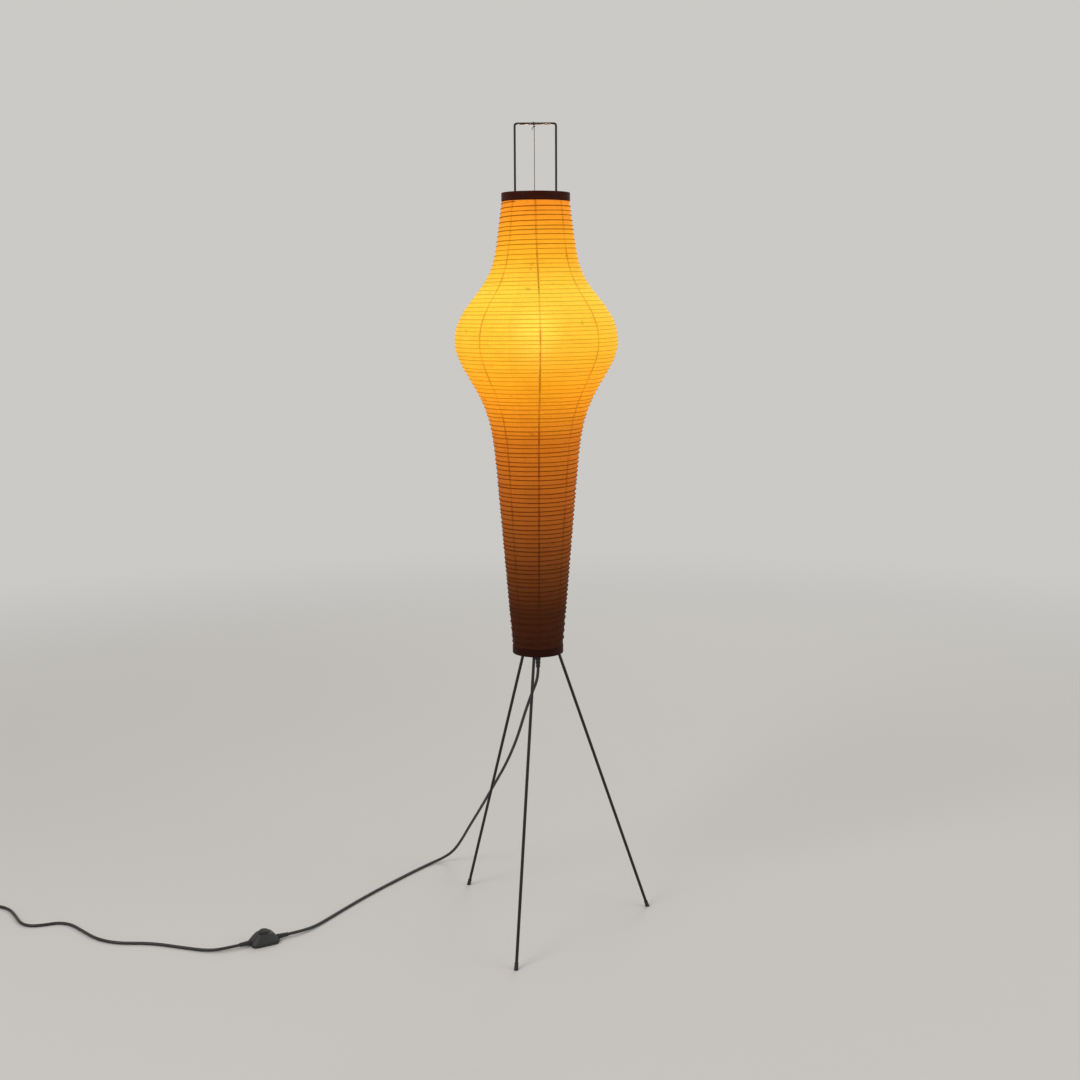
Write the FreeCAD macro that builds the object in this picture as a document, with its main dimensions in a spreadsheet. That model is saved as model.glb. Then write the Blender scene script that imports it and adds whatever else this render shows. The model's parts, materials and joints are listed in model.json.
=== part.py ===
import FreeCAD, Part
import Sketcher
import math
import os

# Paper lantern floor lamp, in millimetres. The origin is on the floor under the lantern's own axis, +Z up,
# seen from the front along +Y, with the mains lead running away to -X.
# Three steel rods stand in a turned hub. A bent wire frame rises from the hub through the lantern and carries
# the lampholder; a string from its bar pulls the lantern's top ring up, and the base ring's lip hooks the hub.

doc = FreeCAD.newDocument("PaperLanternLamp")
sheet = doc.addObject("Spreadsheet::Sheet", "Sizes")

DRIVING_SIZES = (
    # the whole lamp
    ("lamp_height", 1570.0, "floor to the top of the wire frame"),
    ("bar_above_ring", 127.65, "lantern's top ring to the top of the wire frame"),
    ("fit_gap", 0.05, "radial clearance of a pin or rod in its hole"),
    ("moving_gap", 0.3, "clearance between pieces that move apart"),
    # tripod
    ("leg_dia", 6.0, "steel rod"),
    ("foot_circle_radius", 232.0, "lamp axis to each foot on the floor"),
    ("leg_circle_radius", 40.0, "lamp axis to each rod where it enters the hub"),
    ("turn_right", 14.4, "bearing of the right leg, degrees from +X"),
    ("turn_left", 131.0, "bearing of the left leg at the back"),
    ("turn_front", 259.1, "bearing of the front leg"),
    ("leg_insertion", 9.0, "length of each rod inside the hub"),
    ("foot_cap_dia", 8.4, "rubber cap on each foot"),
    ("foot_cap_length", 13.0, "cap along the rod, from the floor"),
    ("foot_cap_floor", 3.0, "rubber under the rod's end"),
    ("foot_cap_taper", 0.3, "how much thinner the cap's radius is at its upper end"),
    # hub
    ("hub_dia", 93.6, "turned steel disc"),
    ("hub_thickness", 14.0, "disc thickness"),
    ("hub_web", 6.0, "floor left under the turned recess"),
    ("hub_recess_dia", 56.0, "turned recess in the upper face"),
    ("hub_edge", 1.0, "chamfer of the hub's upper rim"),
    ("set_screw_dia", 3.0, "set screws of the legs and of the frame"),
    ("set_screw_socket", 1.5, "hexagon socket, across corners"),
    ("set_screw_socket_depth", 1.6, "depth of that socket"),
    # rings
    ("base_ring_dia", 100.0, "outside of the lower hoop"),
    ("base_ring_height", 15.0, "height of the lower hoop"),
    ("base_ring_wall", 2.9, "hoop thickness"),
    ("base_ring_lip", 1.1, "thickness of the lip that hooks under the hub"),
    ("base_ring_lip_width", 3.0, "how far the lip reaches in under the hub"),
    ("top_ring_dia", 129.0, "outside of the upper hoop"),
    ("top_ring_height", 16.0, "height of the upper hoop"),
    ("top_ring_wall", 2.8, "hoop thickness"),
    ("ring_edge", 0.8, "chamfer of the hoops' outer edges"),
    # lantern paper and its wound rib
    ("shade_height", 851.5, "paper, from the base ring to the top ring"),
    ("shade_bottom_radius", 49.5, "paper at the base ring"),
    ("shade_top_radius", 63.9, "paper at the top ring"),
    ("paper_thickness", 0.6, "doubled mulberry paper"),
    ("bulge_height", 593.0, "widest place above the base ring"),
    ("bulge_radius", 155.2, "paper at its widest place"),
    ("body_radius", 98.5, "where the two cones of the body would meet, at the bulge"),
    ("body_blend", 3.0, "rounding between the two cones"),
    ("bulge_reach_below", 100.3, "how far the bulge spreads downwards"),
    ("bulge_reach_above", 96.5, "how far the bulge spreads upwards"),
    ("bulge_fullness_below", 2.0, "exponent of the lower flank"),
    ("bulge_fullness_above", 2.7, "exponent of the upper flank"),
    ("rib_width", 1.5, "square bamboo rib"),
    ("rib_gap", 0.5, "rib to the lantern's curve, which the paper's straight bands cross by up to 0.3"),
    ("rib_turns", 18.0, "turns of the wound rib that are drawn"),
    ("rib_end_margin", 9.0, "first and last turn to the rings"),
    # wire frame, cross wire and string
    ("frame_wire_dia", 4.0, "steel wire of the frame"),
    ("frame_width", 77.0, "between the two uprights' axes"),
    ("frame_bend_radius", 4.0, "axis of the wire at the two top corners"),
    ("frame_insertion", 9.0, "length of each upright inside the hub"),
    ("cross_wire_dia", 2.2, "wire across the top ring"),
    ("cross_wire_loop", 6.0, "length of the cross wire's bend beside each upright"),
    ("string_dia", 1.5, "string from the bar to the cross wire"),
    ("string_offset", -2.0, "string left of the middle"),
    ("string_loop_width", 1.9, "string pressed flat where it goes round a wire"),
    # lampholder and bulb
    ("bracket_below_bulge", 100.55, "lampholder bracket under the lantern's widest place"),
    ("bracket_thickness", 2.0, "flat steel strip"),
    ("bracket_width", 14.0, "strip across"),
    ("bracket_sleeve_dia", 8.0, "sleeve brazed round each upright"),
    ("bracket_sleeve_height", 12.0, "sleeve along the upright"),
    ("nipple_dia", 10.0, "threaded tube through the bracket"),
    ("nipple_bore", 7.0, "bore for the lead"),
    ("nipple_above", 10.0, "nipple above the bracket"),
    ("nipple_below", 9.0, "nipple under the bracket"),
    ("nipple_nut_width", 17.0, "hexagon nut, across corners"),
    ("nipple_nut_height", 4.0, "nut thickness"),
    ("holder_dia", 40.0, "outside of the lampholder"),
    ("holder_wall", 2.0, "moulded wall"),
    ("holder_cap_height", 24.0, "lower cap of the lampholder"),
    ("holder_cap_neck_dia", 22.0, "flat end of the cap on the bracket"),
    ("holder_shell_height", 28.5, "upper skirt of the lampholder"),
    ("holder_lip", 1.2, "slope of the skirt's outer rim"),
    ("core_base", 12.0, "underside of the porcelain above the bracket"),
    ("core_height", 14.0, "porcelain thickness"),
    ("inner_cord_end", 3.0, "end of the lead's sheath under the porcelain"),
    ("core_hole_dia", 4.0, "terminal holes in the porcelain"),
    ("core_hole_offset", 9.9, "each terminal hole from the middle"),
    ("contact_dia", 6.0, "centre contact"),
    ("contact_height", 2.4, "centre contact above the porcelain"),
    ("thread_sleeve_wall", 0.7, "brass sleeve"),
    ("thread_sleeve_height", 25.0, "brass sleeve above the porcelain"),
    ("bulb_cap_dia", 26.0, "screw cap of the bulb"),
    ("bulb_cap_height", 24.0, "screw cap"),
    ("bulb_cap_wall", 0.6, "screw cap wall"),
    ("bulb_cap_taper", 3.0, "taper at the cap's foot"),
    ("bulb_insulator_height", 5.0, "insulator in the cap's foot"),
    ("bulb_tip_dia", 8.0, "solder contact under the cap"),
    ("bulb_tip_height", 3.0, "solder contact"),
    ("bulb_length", 108.0, "contact to the top of the glass"),
    ("bulb_dia", 60.0, "glass at its widest"),
    ("bulb_neck_radius", 12.2, "glass neck inside the cap"),
    ("bulb_throat_radius", 36.0, "hollow curve between the neck and the globe"),
    ("bulb_glass_wall", 0.9, "glass"),
    ("bulb_glass_start", 6.0, "rim of the glass inside the cap, above the cap's own foot"),
    # mains lead, strain relief, switch and plug
    ("cord_dia", 6.0, "round mains lead"),
    ("relief_length", 33.0, "tapered tail under the hub"),
    ("relief_dia", 12.0, "relief in the hub"),
    ("relief_tip_dia", 8.4, "thin end of the tail"),
    ("relief_head_dia", 19.0, "head that rests on the hub's web"),
    ("relief_head_height", 2.5, "head"),
    ("switch_length", 58.0, "foot switch along the lead"),
    ("switch_width", 40.0, "foot switch across"),
    ("switch_base_height", 6.0, "lower shell"),
    ("switch_cover_height", 17.0, "upper shell above the lower one"),
    ("switch_foot_draft", 1.5, "how far the lower shell draws in at the floor"),
    ("switch_wall", 2.0, "moulded wall"),
    ("switch_corner", 12.0, "corner radius seen from above"),
    ("switch_top_length", 30.0, "flat top of the upper shell"),
    ("switch_top_width", 24.0, "flat top across"),
    ("switch_top_corner", 9.0, "corner radius of the flat top"),
    ("button_dia", 19.0, "push button"),
    ("button_rise", 5.0, "button above the upper shell"),
    ("button_travel", 3.0, "how far the button is pressed"),
    ("button_edge", 1.6, "rounded edge of the button"),
    ("button_flange_dia", 22.0, "flange that keeps the button in"),
    ("button_flange_height", 1.6, "flange thickness"),
    ("lever_thickness", 0.8, "leaf spring under the button"),
    ("lever_width", 8.0, "leaf spring across"),
    ("lever_length", 24.0, "leaf spring along the switch"),
    ("switch_block_height", 8.0, "contact block on the lower shell"),
    ("switch_block_length", 26.0, "contact block along the switch"),
    ("switch_block_width", 14.0, "contact block across"),
    ("switch_cord_height", 7.5, "axis of the lead where it enters the switch"),
    ("switch_relief_length", 20.0, "tapered relief at each end"),
    ("switch_relief_dia", 10.0, "relief at the shell"),
    ("switch_relief_tip_dia", 8.0, "relief at its thin end"),
    ("switch_screw_dia", 3.0, "screws in the lower shell"),
    ("switch_screw_head_dia", 5.6, "screw heads in the lower shell"),
    ("switch_screw_seat", 2.2, "depth of the seat under each head"),
    ("switch_screw_grip", 6.0, "screw hole in the upper shell"),
    ("switch_screw_along", 17.0, "each screw from the middle, along the switch"),
    ("switch_screw_across", 11.0, "each screw from the middle, across"),
    ("plug_length", 34.0, "plug body"),
    ("plug_width", 24.0, "plug body across"),
    ("plug_front_width", 27.0, "plug body at its face"),
    ("plug_neck_width", 15.0, "plug body at its relief"),
    ("plug_shoulder", 15.3, "neck to the widest part of the plug's back"),
    ("plug_height", 18.0, "plug body"),
    ("plug_edge", 3.0, "rounding of the plug body"),
    ("plug_relief_length", 22.0, "tapered relief of the plug"),
    ("plug_relief_dia", 11.0, "relief at the plug"),
    ("plug_relief_tip_dia", 8.0, "relief at its thin end"),
    ("blade_spacing", 12.7, "between the two flat blades"),
    ("blade_length", 17.0, "blade out of the face"),
    ("blade_width", 6.3, "blade upright"),
    ("blade_thickness", 1.5, "blade"),
    ("blade_root", 6.0, "blade inside the plug body"),
    # put-away coil
    ("coil_start_radius", 38.5, "axis of the outermost turn"),
    ("coil_pitch", 7.4, "turn to turn, and layer to layer"),
    ("coil_turns_in", 1.375, "turns of the lower layer"),
    ("coil_turns_climb", 0.5, "turn in which the lead climbs to the upper layer"),
    ("coil_tail", 40.0, "straight lead from the coil to the plug"),
    ("tie_width", 7.0, "band round the coil"),
    ("tie_thickness", 0.6, "band"),
    ("tie_slack", 0.5, "band to the turns"),
)

# Points of the lead that are chosen by hand: from the relief under the hub to the switch, and from the switch
# to the coil. Heights on the floor are the lead's own radius and a little air.
LEAD_TO_SWITCH = (
    (0, 0, 527.7), (0, 0, 506.5), (-12, 8, 474), (-27, 31, 426), (-43, 69, 362), (-66, 115, 294),
    (-95, 162, 228.9), (-124, 208, 164), (-153, 249, 104), (-175, 280, 56), (-194, 298.1, 25.1),
    (-217.6, 300.6, 8.8), (-243, 285.1, 3.3), (-269.5, 249.8, 3.3), (-307, 196, 3.3), (-353, 128, 3.3),
    (-397, 55, 3.3), (-431, -6, 3.3), (-453, -44.1, 4.2), (-478.5, -72.8, 7.5), (-498.3, -83.9, 7.5),
)
LEAD_FROM_SWITCH = (
    (-583.7, -132.1, 7.5), (-605, -144.1, 7.3), (-640, -148.5, 3.6), (-695, -133, 3.2), (-762, -112, 3.2),
    (-828, -112.5, 3.2), (-875, -93, 3.2), (-915, -55, 3.2), (-946, -25, 3.2), (-975, -15.6, 3.2),
    (-1001.1, -26.6, 3.2), (-1028, -31.7, 3.2), (-1052.1, -18.2, 3.2), (-1075, 18, 3.2), (-1098, 50, 3.2),
    (-1128, 67, 3.5), (-1156, 66.9, 3.8), (-1180, 66.18, 3.8),
)
HANGING_ABOVE = 20.0
SWITCH_PLACE = (-541.0, -108.0)
SWITCH_BEARING = 29.3
COIL_ENTRY = (-1180.0, 66.0, 3.8)
REVOLUTION = 360.0
PAPER_BAND_COUNT_PER_TURN = 3
THROAT_BAND_COUNT = 3
GLOBE_BAND_COUNT = 8
HEXAGON_SIDE_COUNT = 6
COIL_SIDE_COUNT = 8


class Size:
    """A size of the lamp: its value now, and the expression that ties an object to the sheet."""

    def __init__(self, value, text):
        self.value = float(value)
        self.text = text

    def __add__(self, other):
        other = as_size(other)
        return Size(self.value + other.value, f"({self.text} + {other.text})")

    def __radd__(self, other):
        return as_size(other) + self

    def __sub__(self, other):
        other = as_size(other)
        return Size(self.value - other.value, f"({self.text} - {other.text})")

    def __rsub__(self, other):
        return as_size(other) - self

    def __mul__(self, other):
        other = as_size(other)
        return Size(self.value * other.value, f"({self.text} * {other.text})")

    def __rmul__(self, other):
        return as_size(other) * self

    def __truediv__(self, other):
        other = as_size(other)
        return Size(self.value / other.value, f"({self.text} / {other.text})")

    def __neg__(self):
        return Size(-self.value, f"(-{self.text})")

    def __float__(self):
        return self.value


def as_size(number):
    return number if isinstance(number, Size) else Size(number, repr(float(number)))


class SizeTable:
    """Every driving dimension by its name, as the sheet holds it."""


size = SizeTable()
for row, (alias, number, note) in enumerate(DRIVING_SIZES, start=1):
    sheet.set(f"A{row}", alias)
    sheet.set(f"B{row}", str(number))
    sheet.set(f"C{row}", note)
    sheet.setAlias(f"B{row}", alias)
    setattr(size, alias, Size(number, f"Sizes.{alias}"))
doc.recompute()

parts = []


def bind(thing, **sizes):
    """Ties properties of an object to the sheet; names such as Placement__Base__x stand for dotted ones."""
    for name, value in sizes.items():
        thing.setExpression(name.replace("__", "."), as_size(value).text)
    return thing


def sub_part(thing, label):
    """Marks a finished object as one of the lamp's pieces and gives it its name."""
    thing.Label = label
    parts.append(thing)
    return thing


def place(thing, x=0, y=0, z=0, turn=None):
    """Puts an object at a point that follows the sheet, turned as given."""
    thing.Placement = FreeCAD.Placement(
        FreeCAD.Vector(float(as_size(x)), float(as_size(y)), float(as_size(z))), turn or FreeCAD.Rotation()
    )
    return bind(thing, Placement__Base__x=x, Placement__Base__y=y, Placement__Base__z=z)


def cylinder(name, radius, height, x=0, y=0, z=0, turn=None):
    thing = doc.addObject("Part::Cylinder", name)
    bind(thing, Radius=radius, Height=height)
    return place(thing, x, y, z, turn)


def cone(name, lower, upper, height, x=0, y=0, z=0, turn=None):
    thing = doc.addObject("Part::Cone", name)
    bind(thing, Radius1=lower, Radius2=upper, Height=height)
    return place(thing, x, y, z, turn)


def box(name, length, width, height, x=0, y=0, z=0, turn=None):
    thing = doc.addObject("Part::Box", name)
    bind(thing, Length=length, Width=width, Height=height)
    return place(thing, x, y, z, turn)


def fuse(name, pieces):
    thing = doc.addObject("Part::MultiFuse", name)
    thing.Shapes = pieces
    return thing


def cut(name, base, tools):
    thing = doc.addObject("Part::Cut", name)
    thing.Base = base
    thing.Tool = tools[0] if len(tools) == 1 else fuse(name + "_tools", tools)
    return thing


def group(name, pieces):
    thing = doc.addObject("Part::Compound", name)
    thing.Links = pieces
    return thing


def origin_plane(body, role):
    return next(item for item in body.Origin.OriginFeatures if item.Role == role)


def outline(body, name, role, corners):
    """A closed straight-sided sketch whose corners are tied to the sheet, on one of the body's planes."""
    sketch = body.newObject("Sketcher::SketchObject", name)
    sketch.AttachmentSupport = [(origin_plane(body, role), "")]
    sketch.MapMode = "FlatFace"
    points = [(as_size(across), as_size(up)) for across, up in corners]
    count = len(points)
    for index, (across, up) in enumerate(points):
        far_across, far_up = points[(index + 1) % count]
        start = FreeCAD.Vector(float(across), float(up), 0)
        end = FreeCAD.Vector(float(far_across), float(far_up), 0)
        sketch.addGeometry(Part.LineSegment(start, end), False)
    for index in range(count):
        following = (index + 1) % count
        sketch.addConstraint(Sketcher.Constraint("Coincident", index, 2, following, 1))
    for index, (across, up) in enumerate(points):
        for kind, value, axis in (("DistanceX", across, -2), ("DistanceY", up, -1)):
            if value.value == 0:
                sketch.addConstraint(Sketcher.Constraint("PointOnObject", index, 1, axis))
                continue
            made = sketch.addConstraint(Sketcher.Constraint(kind, -1, 1, index, 1, float(value)))
            sketch.setExpression(f"Constraints[{made}]", value.text)
    return sketch


def turned(label, corners, x=0, y=0, z=0, turn=None):
    """A body turned about its own Z from an outline of (radius, height) corners."""
    body = doc.addObject("PartDesign::Body", label)
    sketch = outline(body, label + "_outline", "XZ_Plane", corners)
    solid = body.newObject("PartDesign::Revolution", label + "_turned")
    solid.Profile = sketch
    solid.ReferenceAxis = (sketch, ["V_Axis"])
    solid.Angle = REVOLUTION
    sketch.Visibility = False
    body.Tip = solid
    return place(body, x, y, z, turn)


def feature(label, shape):
    thing = doc.addObject("Part::Feature", label)
    thing.Shape = shape
    return sub_part(thing, label)


# ---- swept wires and leads ----


def corner_arc(before, corner, after, share):
    """The arc that rounds a corner, tangent to both runs at share of the shorter one, and its radius."""
    into = (corner - before).normalize()
    out = (after - corner).normalize()
    half_turn = into.getAngle(out) / 2
    reach = share * min((corner - before).Length, (after - corner).Length)
    radius = reach / math.tan(half_turn)
    inward = (out - into).normalize()
    middle = corner + inward * (radius / math.cos(half_turn) - radius)
    return corner - into * reach, middle, corner + out * reach, radius


def run_and_arc_wire(points, share=0.45):
    """Straight runs joined by tangent arcs through a list of points; also the smallest arc radius."""
    points = [FreeCAD.Vector(*point) for point in points]
    edges = []
    radii = []
    here = points[0]
    for before, corner, after in zip(points, points[1:], points[2:]):
        start, middle, end, radius = corner_arc(before, corner, after, share)
        edges.append(Part.LineSegment(here, start).toShape())
        edges.append(Part.Arc(start, middle, end).toShape())
        radii.append(radius)
        here = end
    edges.append(Part.LineSegment(here, points[-1]).toShape())
    return Part.Wire(edges), radii


def bent_wire(points, bend_radius):
    """A wire path whose corners all have the same bend radius."""
    points = [FreeCAD.Vector(*point) for point in points]
    edges = []
    here = points[0]
    for before, corner, after in zip(points, points[1:], points[2:]):
        into = (corner - before).normalize()
        out = (after - corner).normalize()
        half_turn = into.getAngle(out) / 2
        reach = bend_radius * math.tan(half_turn)
        inward = (out - into).normalize()
        middle = corner + inward * (bend_radius / math.cos(half_turn) - bend_radius)
        start, end = corner - into * reach, corner + out * reach
        edges.append(Part.LineSegment(here, start).toShape())
        edges.append(Part.Arc(start, middle, end).toShape())
        here = end
    edges.append(Part.LineSegment(here, points[-1]).toShape())
    return Part.Wire(edges)


def tube_along(path, diameter):
    """A round solid along a path of tangent edges."""
    first = path.OrderedEdges[0]
    start = first.valueAt(first.FirstParameter)
    along = first.tangentAt(first.FirstParameter)
    ring = Part.Wire([Part.Circle(start, along, diameter / 2).toShape()])
    return path.makePipeShell([ring], True, False)


def swept_volume_note(name, path, diameter, solid):
    expected = path.Length * math.pi * diameter**2 / 4
    print(f"{name}: length {path.Length:.0f}, volume {solid.Volume / expected:.4f} of section times length")


def lead_tube(label, points, diameter):
    """A free stretch of the mains lead."""
    path, radii = run_and_arc_wire(points)
    solid = tube_along(path, diameter)
    print(f"{label}: smallest arc radius {min(radii):.1f}, of {', '.join(f'{r:.0f}' for r in radii)}")
    swept_volume_note(label, path, diameter, solid)
    feature(label, solid)
    return path.Length


def biarc(start, start_way, end, end_way):
    """Two arcs that leave start along start_way, meet tangentially and arrive at end along end_way."""
    span = end - start
    both = start_way + end_way
    bend = 2 * (1 - start_way.dot(end_way))
    across = span.dot(both)
    reach = (-across + math.sqrt(across * across + bend * span.dot(span))) / bend
    meeting = (start + end + (start_way - end_way) * reach) * 0.5
    return arc_from(start, start_way, meeting), arc_from(end, end_way * -1, meeting)


def arc_from(start, way, end):
    """The arc that leaves start along way and ends at end."""
    chord = end - start
    along = FreeCAD.Vector(chord).normalize()
    side = (way - along * way.dot(along)).normalize()
    half_turn = way.getAngle(chord)
    middle = start + chord * 0.5 + side * (chord.Length / 2 * math.tan(half_turn / 2))
    return Part.Arc(start, middle, end).toShape()


def wound_edges(place_at, first, last, steps):
    """Biarcs along a winding; place_at gives its point for a number of turns."""
    small = 1e-4
    stations = []
    for index in range(steps + 1):
        turns = first + (last - first) * index / steps
        ahead = min(turns + small, last)
        behind = max(turns - small, first)
        way = (place_at(ahead) - place_at(behind)).normalize()
        stations.append((place_at(turns), way))
    edges = []
    for (start, start_way), (end, end_way) in zip(stations, stations[1:]):
        one, other = biarc(start, start_way, end, end_way)
        edges += [one, other]
    return edges


def least_gap_to_itself(place_at, first, last, thickness, samples=72):
    """The smallest air gap between a winding's turns, on sampled points at least half a turn apart."""
    count = int((last - first) * samples)
    points = [place_at(first + (last - first) * index / count) for index in range(count + 1)]
    least = float("inf")
    for index, point in enumerate(points):
        reach = points[index + samples // 2: index + int(1.6 * samples)]
        for other in reach:
            least = min(least, point.distanceToPoint(other))
    return least - thickness


# ---- tripod ----

base_ring_under_hub = size.base_ring_lip + size.fit_gap
lantern_height = size.base_ring_height + size.shade_height + size.moving_gap + size.top_ring_height
hub_underside = size.lamp_height - size.bar_above_ring - lantern_height + base_ring_under_hub
hub_top = hub_underside + size.hub_thickness
leg_rise = hub_underside
leg_lean = math.atan2(float(size.foot_circle_radius - size.leg_circle_radius), float(leg_rise))
leg_spread = size.foot_circle_radius - size.leg_circle_radius
leg_length = size.leg_insertion + Size(math.hypot(float(leg_spread), float(leg_rise)),
                                       f"hypot({leg_spread.text}; {leg_rise.text})")
LEGS = (("right", size.turn_right), ("left", size.turn_left), ("front", size.turn_front))
floor_slab = 400.0


def foot_point(bearing):
    angle = math.radians(float(bearing))
    return (
        Size(math.cos(angle), f"cos({bearing.text} * 1deg)") * size.foot_circle_radius,
        Size(math.sin(angle), f"sin({bearing.text} * 1deg)") * size.foot_circle_radius,
    )


def leaning(bearing):
    """Turns +Z to run up a leg that stands at this bearing."""
    angle = math.radians(float(bearing))
    return FreeCAD.Rotation(FreeCAD.Vector(math.sin(angle), -math.cos(angle), 0), math.degrees(leg_lean))


def along_leg(bearing, distance):
    """The point at this distance up a leg's axis, as sizes."""
    foot_x, foot_y = foot_point(bearing)
    angle = math.radians(float(bearing))
    inward = math.sin(leg_lean) * float(distance)
    return foot_x - math.cos(angle) * inward, foot_y - math.sin(angle) * inward, math.cos(leg_lean) * float(distance)


def make_leg(side, bearing):
    x, y, z = along_leg(bearing, size.foot_cap_floor)
    rod = cylinder("leg_" + side, size.leg_dia / 2, leg_length - size.foot_cap_floor, x, y, z, leaning(bearing))
    sub_part(rod, "leg_" + side)


def make_foot_cap(side, bearing):
    """A rubber cap on the rod's end, cut level where it meets the floor."""
    name = "foot_cap_" + side
    turn = leaning(bearing)
    below = float(size.foot_cap_dia)
    x, y, z = along_leg(bearing, -below)
    length = size.foot_cap_length + below
    upper = size.foot_cap_dia / 2 - size.foot_cap_taper
    outside = cone(name + "_outside", size.foot_cap_dia / 2, upper, length, x, y, z, turn)
    x, y, z = along_leg(bearing, size.foot_cap_floor)
    bore_radius = size.leg_dia / 2 + size.fit_gap
    bore = cylinder(name + "_bore", bore_radius, size.foot_cap_length, x, y, z, turn)
    foot_x, foot_y = foot_point(bearing)
    slab = box(name + "_floor", floor_slab, floor_slab, floor_slab,
               foot_x - floor_slab / 2, foot_y - floor_slab / 2, -floor_slab)
    sub_part(cut(name, outside, [bore, slab]), name)


def across_hub(bearing):
    """Turns +Z to point outwards along the hub's radius at this bearing."""
    angle = math.radians(float(bearing))
    return FreeCAD.Rotation(FreeCAD.Vector(0, 0, 1), FreeCAD.Vector(math.cos(angle), math.sin(angle), 0))


def radial_point(bearing, radius):
    angle = math.radians(float(bearing))
    return (
        Size(math.cos(angle), f"cos({bearing.text} * 1deg)") * radius,
        Size(math.sin(angle), f"sin({bearing.text} * 1deg)") * radius,
    )


screw_height = hub_underside + size.hub_web
leg_at_screw = size.leg_circle_radius - float(size.hub_web) * math.tan(leg_lean)
screw_lean = size.set_screw_dia / 2 * math.tan(leg_lean)
leg_side_at_screw = leg_at_screw + size.leg_dia / 2 / math.cos(leg_lean) + screw_lean
frame_half = size.frame_width / 2
SCREWS = [(bearing, leg_side_at_screw) for side, bearing in LEGS]
FRAME_SIDES = ((as_size(0), frame_half), (as_size(180), frame_half))


def screw_hole(name, bearing, inner):
    x, y = radial_point(bearing, inner)
    radius = size.set_screw_dia / 2 + size.fit_gap
    return cylinder(name, radius, size.hub_dia / 2 - inner + 1, x, y, screw_height, across_hub(bearing))


def set_screw(name, bearing, inner):
    """A short set screw with a hexagon socket, from the rod to just under the hub's rim."""
    gap = size.fit_gap
    x, y = radial_point(bearing, inner + gap)
    length = size.hub_dia / 2 - inner - gap * 2
    shank = cylinder(name + "_shank", size.set_screw_dia / 2, length, x, y, screw_height, across_hub(bearing))
    x, y = radial_point(bearing, inner + gap + length - size.set_screw_socket_depth)
    socket = doc.addObject("Part::Prism", name + "_socket")
    socket.Polygon = HEXAGON_SIDE_COUNT
    bind(socket, Circumradius=size.set_screw_socket / 2, Height=size.set_screw_socket_depth + 1)
    place(socket, x, y, screw_height, across_hub(bearing))
    return cut(name, shank, [socket])


def make_hub():
    radius = size.hub_dia / 2
    edge = size.hub_edge
    recess_floor = size.hub_web
    disc = turned("hub_disc", (
        (size.relief_dia / 2 + size.fit_gap, 0),
        (radius, 0),
        (radius, size.hub_thickness - edge),
        (radius - edge, size.hub_thickness),
        (size.hub_recess_dia / 2, size.hub_thickness),
        (size.hub_recess_dia / 2, recess_floor),
        (size.relief_dia / 2 + size.fit_gap, recess_floor),
    ), z=hub_underside)
    tools = []
    for side, bearing in LEGS:
        x, y, z = along_leg(bearing, leg_length - 2 * float(size.leg_insertion))
        bore = size.leg_dia / 2 + size.fit_gap
        depth = 2 * size.leg_insertion + size.fit_gap
        tools.append(cylinder("leg_socket_" + side, bore, depth, x, y, z, leaning(bearing)))
        tools.append(screw_hole("leg_screw_hole_" + side, bearing, leg_side_at_screw - 1))
    for index, (bearing, reach) in enumerate(FRAME_SIDES):
        x, y = radial_point(bearing, reach)
        bore = size.frame_wire_dia / 2 + size.fit_gap
        depth = size.frame_insertion + size.fit_gap
        tools.append(cylinder(f"frame_socket_{index}", bore, depth + 1, x, y, hub_top - depth))
        inner = frame_half + size.frame_wire_dia / 2
        tools.append(screw_hole(f"frame_screw_hole_{index}", bearing, inner - 1))
    sub_part(cut("base_hub", disc, tools), "base_hub")


def make_set_screws():
    legs = [set_screw(f"leg_set_screw_{side}", bearing, leg_side_at_screw) for side, bearing in LEGS]
    sub_part(group("leg_set_screws", legs), "leg_set_screws")
    inner = frame_half + size.frame_wire_dia / 2
    frame = [set_screw(f"frame_set_screw_{index}", bearing, inner) for index, (bearing, _) in enumerate(FRAME_SIDES)]
    sub_part(group("frame_set_screws", frame), "frame_set_screws")


for leg_side, leg_bearing in LEGS:
    make_leg(leg_side, leg_bearing)
    make_foot_cap(leg_side, leg_bearing)
make_hub()
make_set_screws()

# ---- rings ----

base_ring_bottom = hub_underside - base_ring_under_hub
base_ring_top = base_ring_bottom + size.base_ring_height
top_ring_bottom = base_ring_top + size.shade_height + size.moving_gap
top_ring_middle = top_ring_bottom + size.top_ring_height / 2


def make_base_ring():
    """The lower hoop: its inward lip hooks under the hub, so the stretched paper pulls it up against it."""
    outer = size.base_ring_dia / 2
    inner = outer - size.base_ring_wall
    edge = size.ring_edge
    ring = turned("base_ring", (
        (inner - size.base_ring_lip_width, 0),
        (outer - edge, 0),
        (outer, edge),
        (outer, size.base_ring_height - edge),
        (outer - edge, size.base_ring_height),
        (inner, size.base_ring_height),
        (inner, size.base_ring_lip),
        (inner - size.base_ring_lip_width, size.base_ring_lip),
    ), z=base_ring_bottom)
    sub_part(ring, "base_ring")


def make_top_ring():
    """The upper hoop, with two holes for the ends of the cross wire."""
    outer = size.top_ring_dia / 2
    inner = outer - size.top_ring_wall
    edge = size.ring_edge
    hoop = turned("top_hoop", (
        (inner, 0),
        (outer - edge, 0),
        (outer, edge),
        (outer, size.top_ring_height - edge),
        (outer - edge, size.top_ring_height),
        (inner, size.top_ring_height),
    ), z=top_ring_bottom)
    hole = cylinder("cross_wire_hole", size.cross_wire_dia / 2 + size.fit_gap, size.top_ring_dia + 2,
                    -size.top_ring_dia / 2 - 1, 0, top_ring_middle,
                    FreeCAD.Rotation(FreeCAD.Vector(0, 1, 0), 90))
    sub_part(cut("top_ring", hoop, [hole]), "top_ring")


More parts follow.
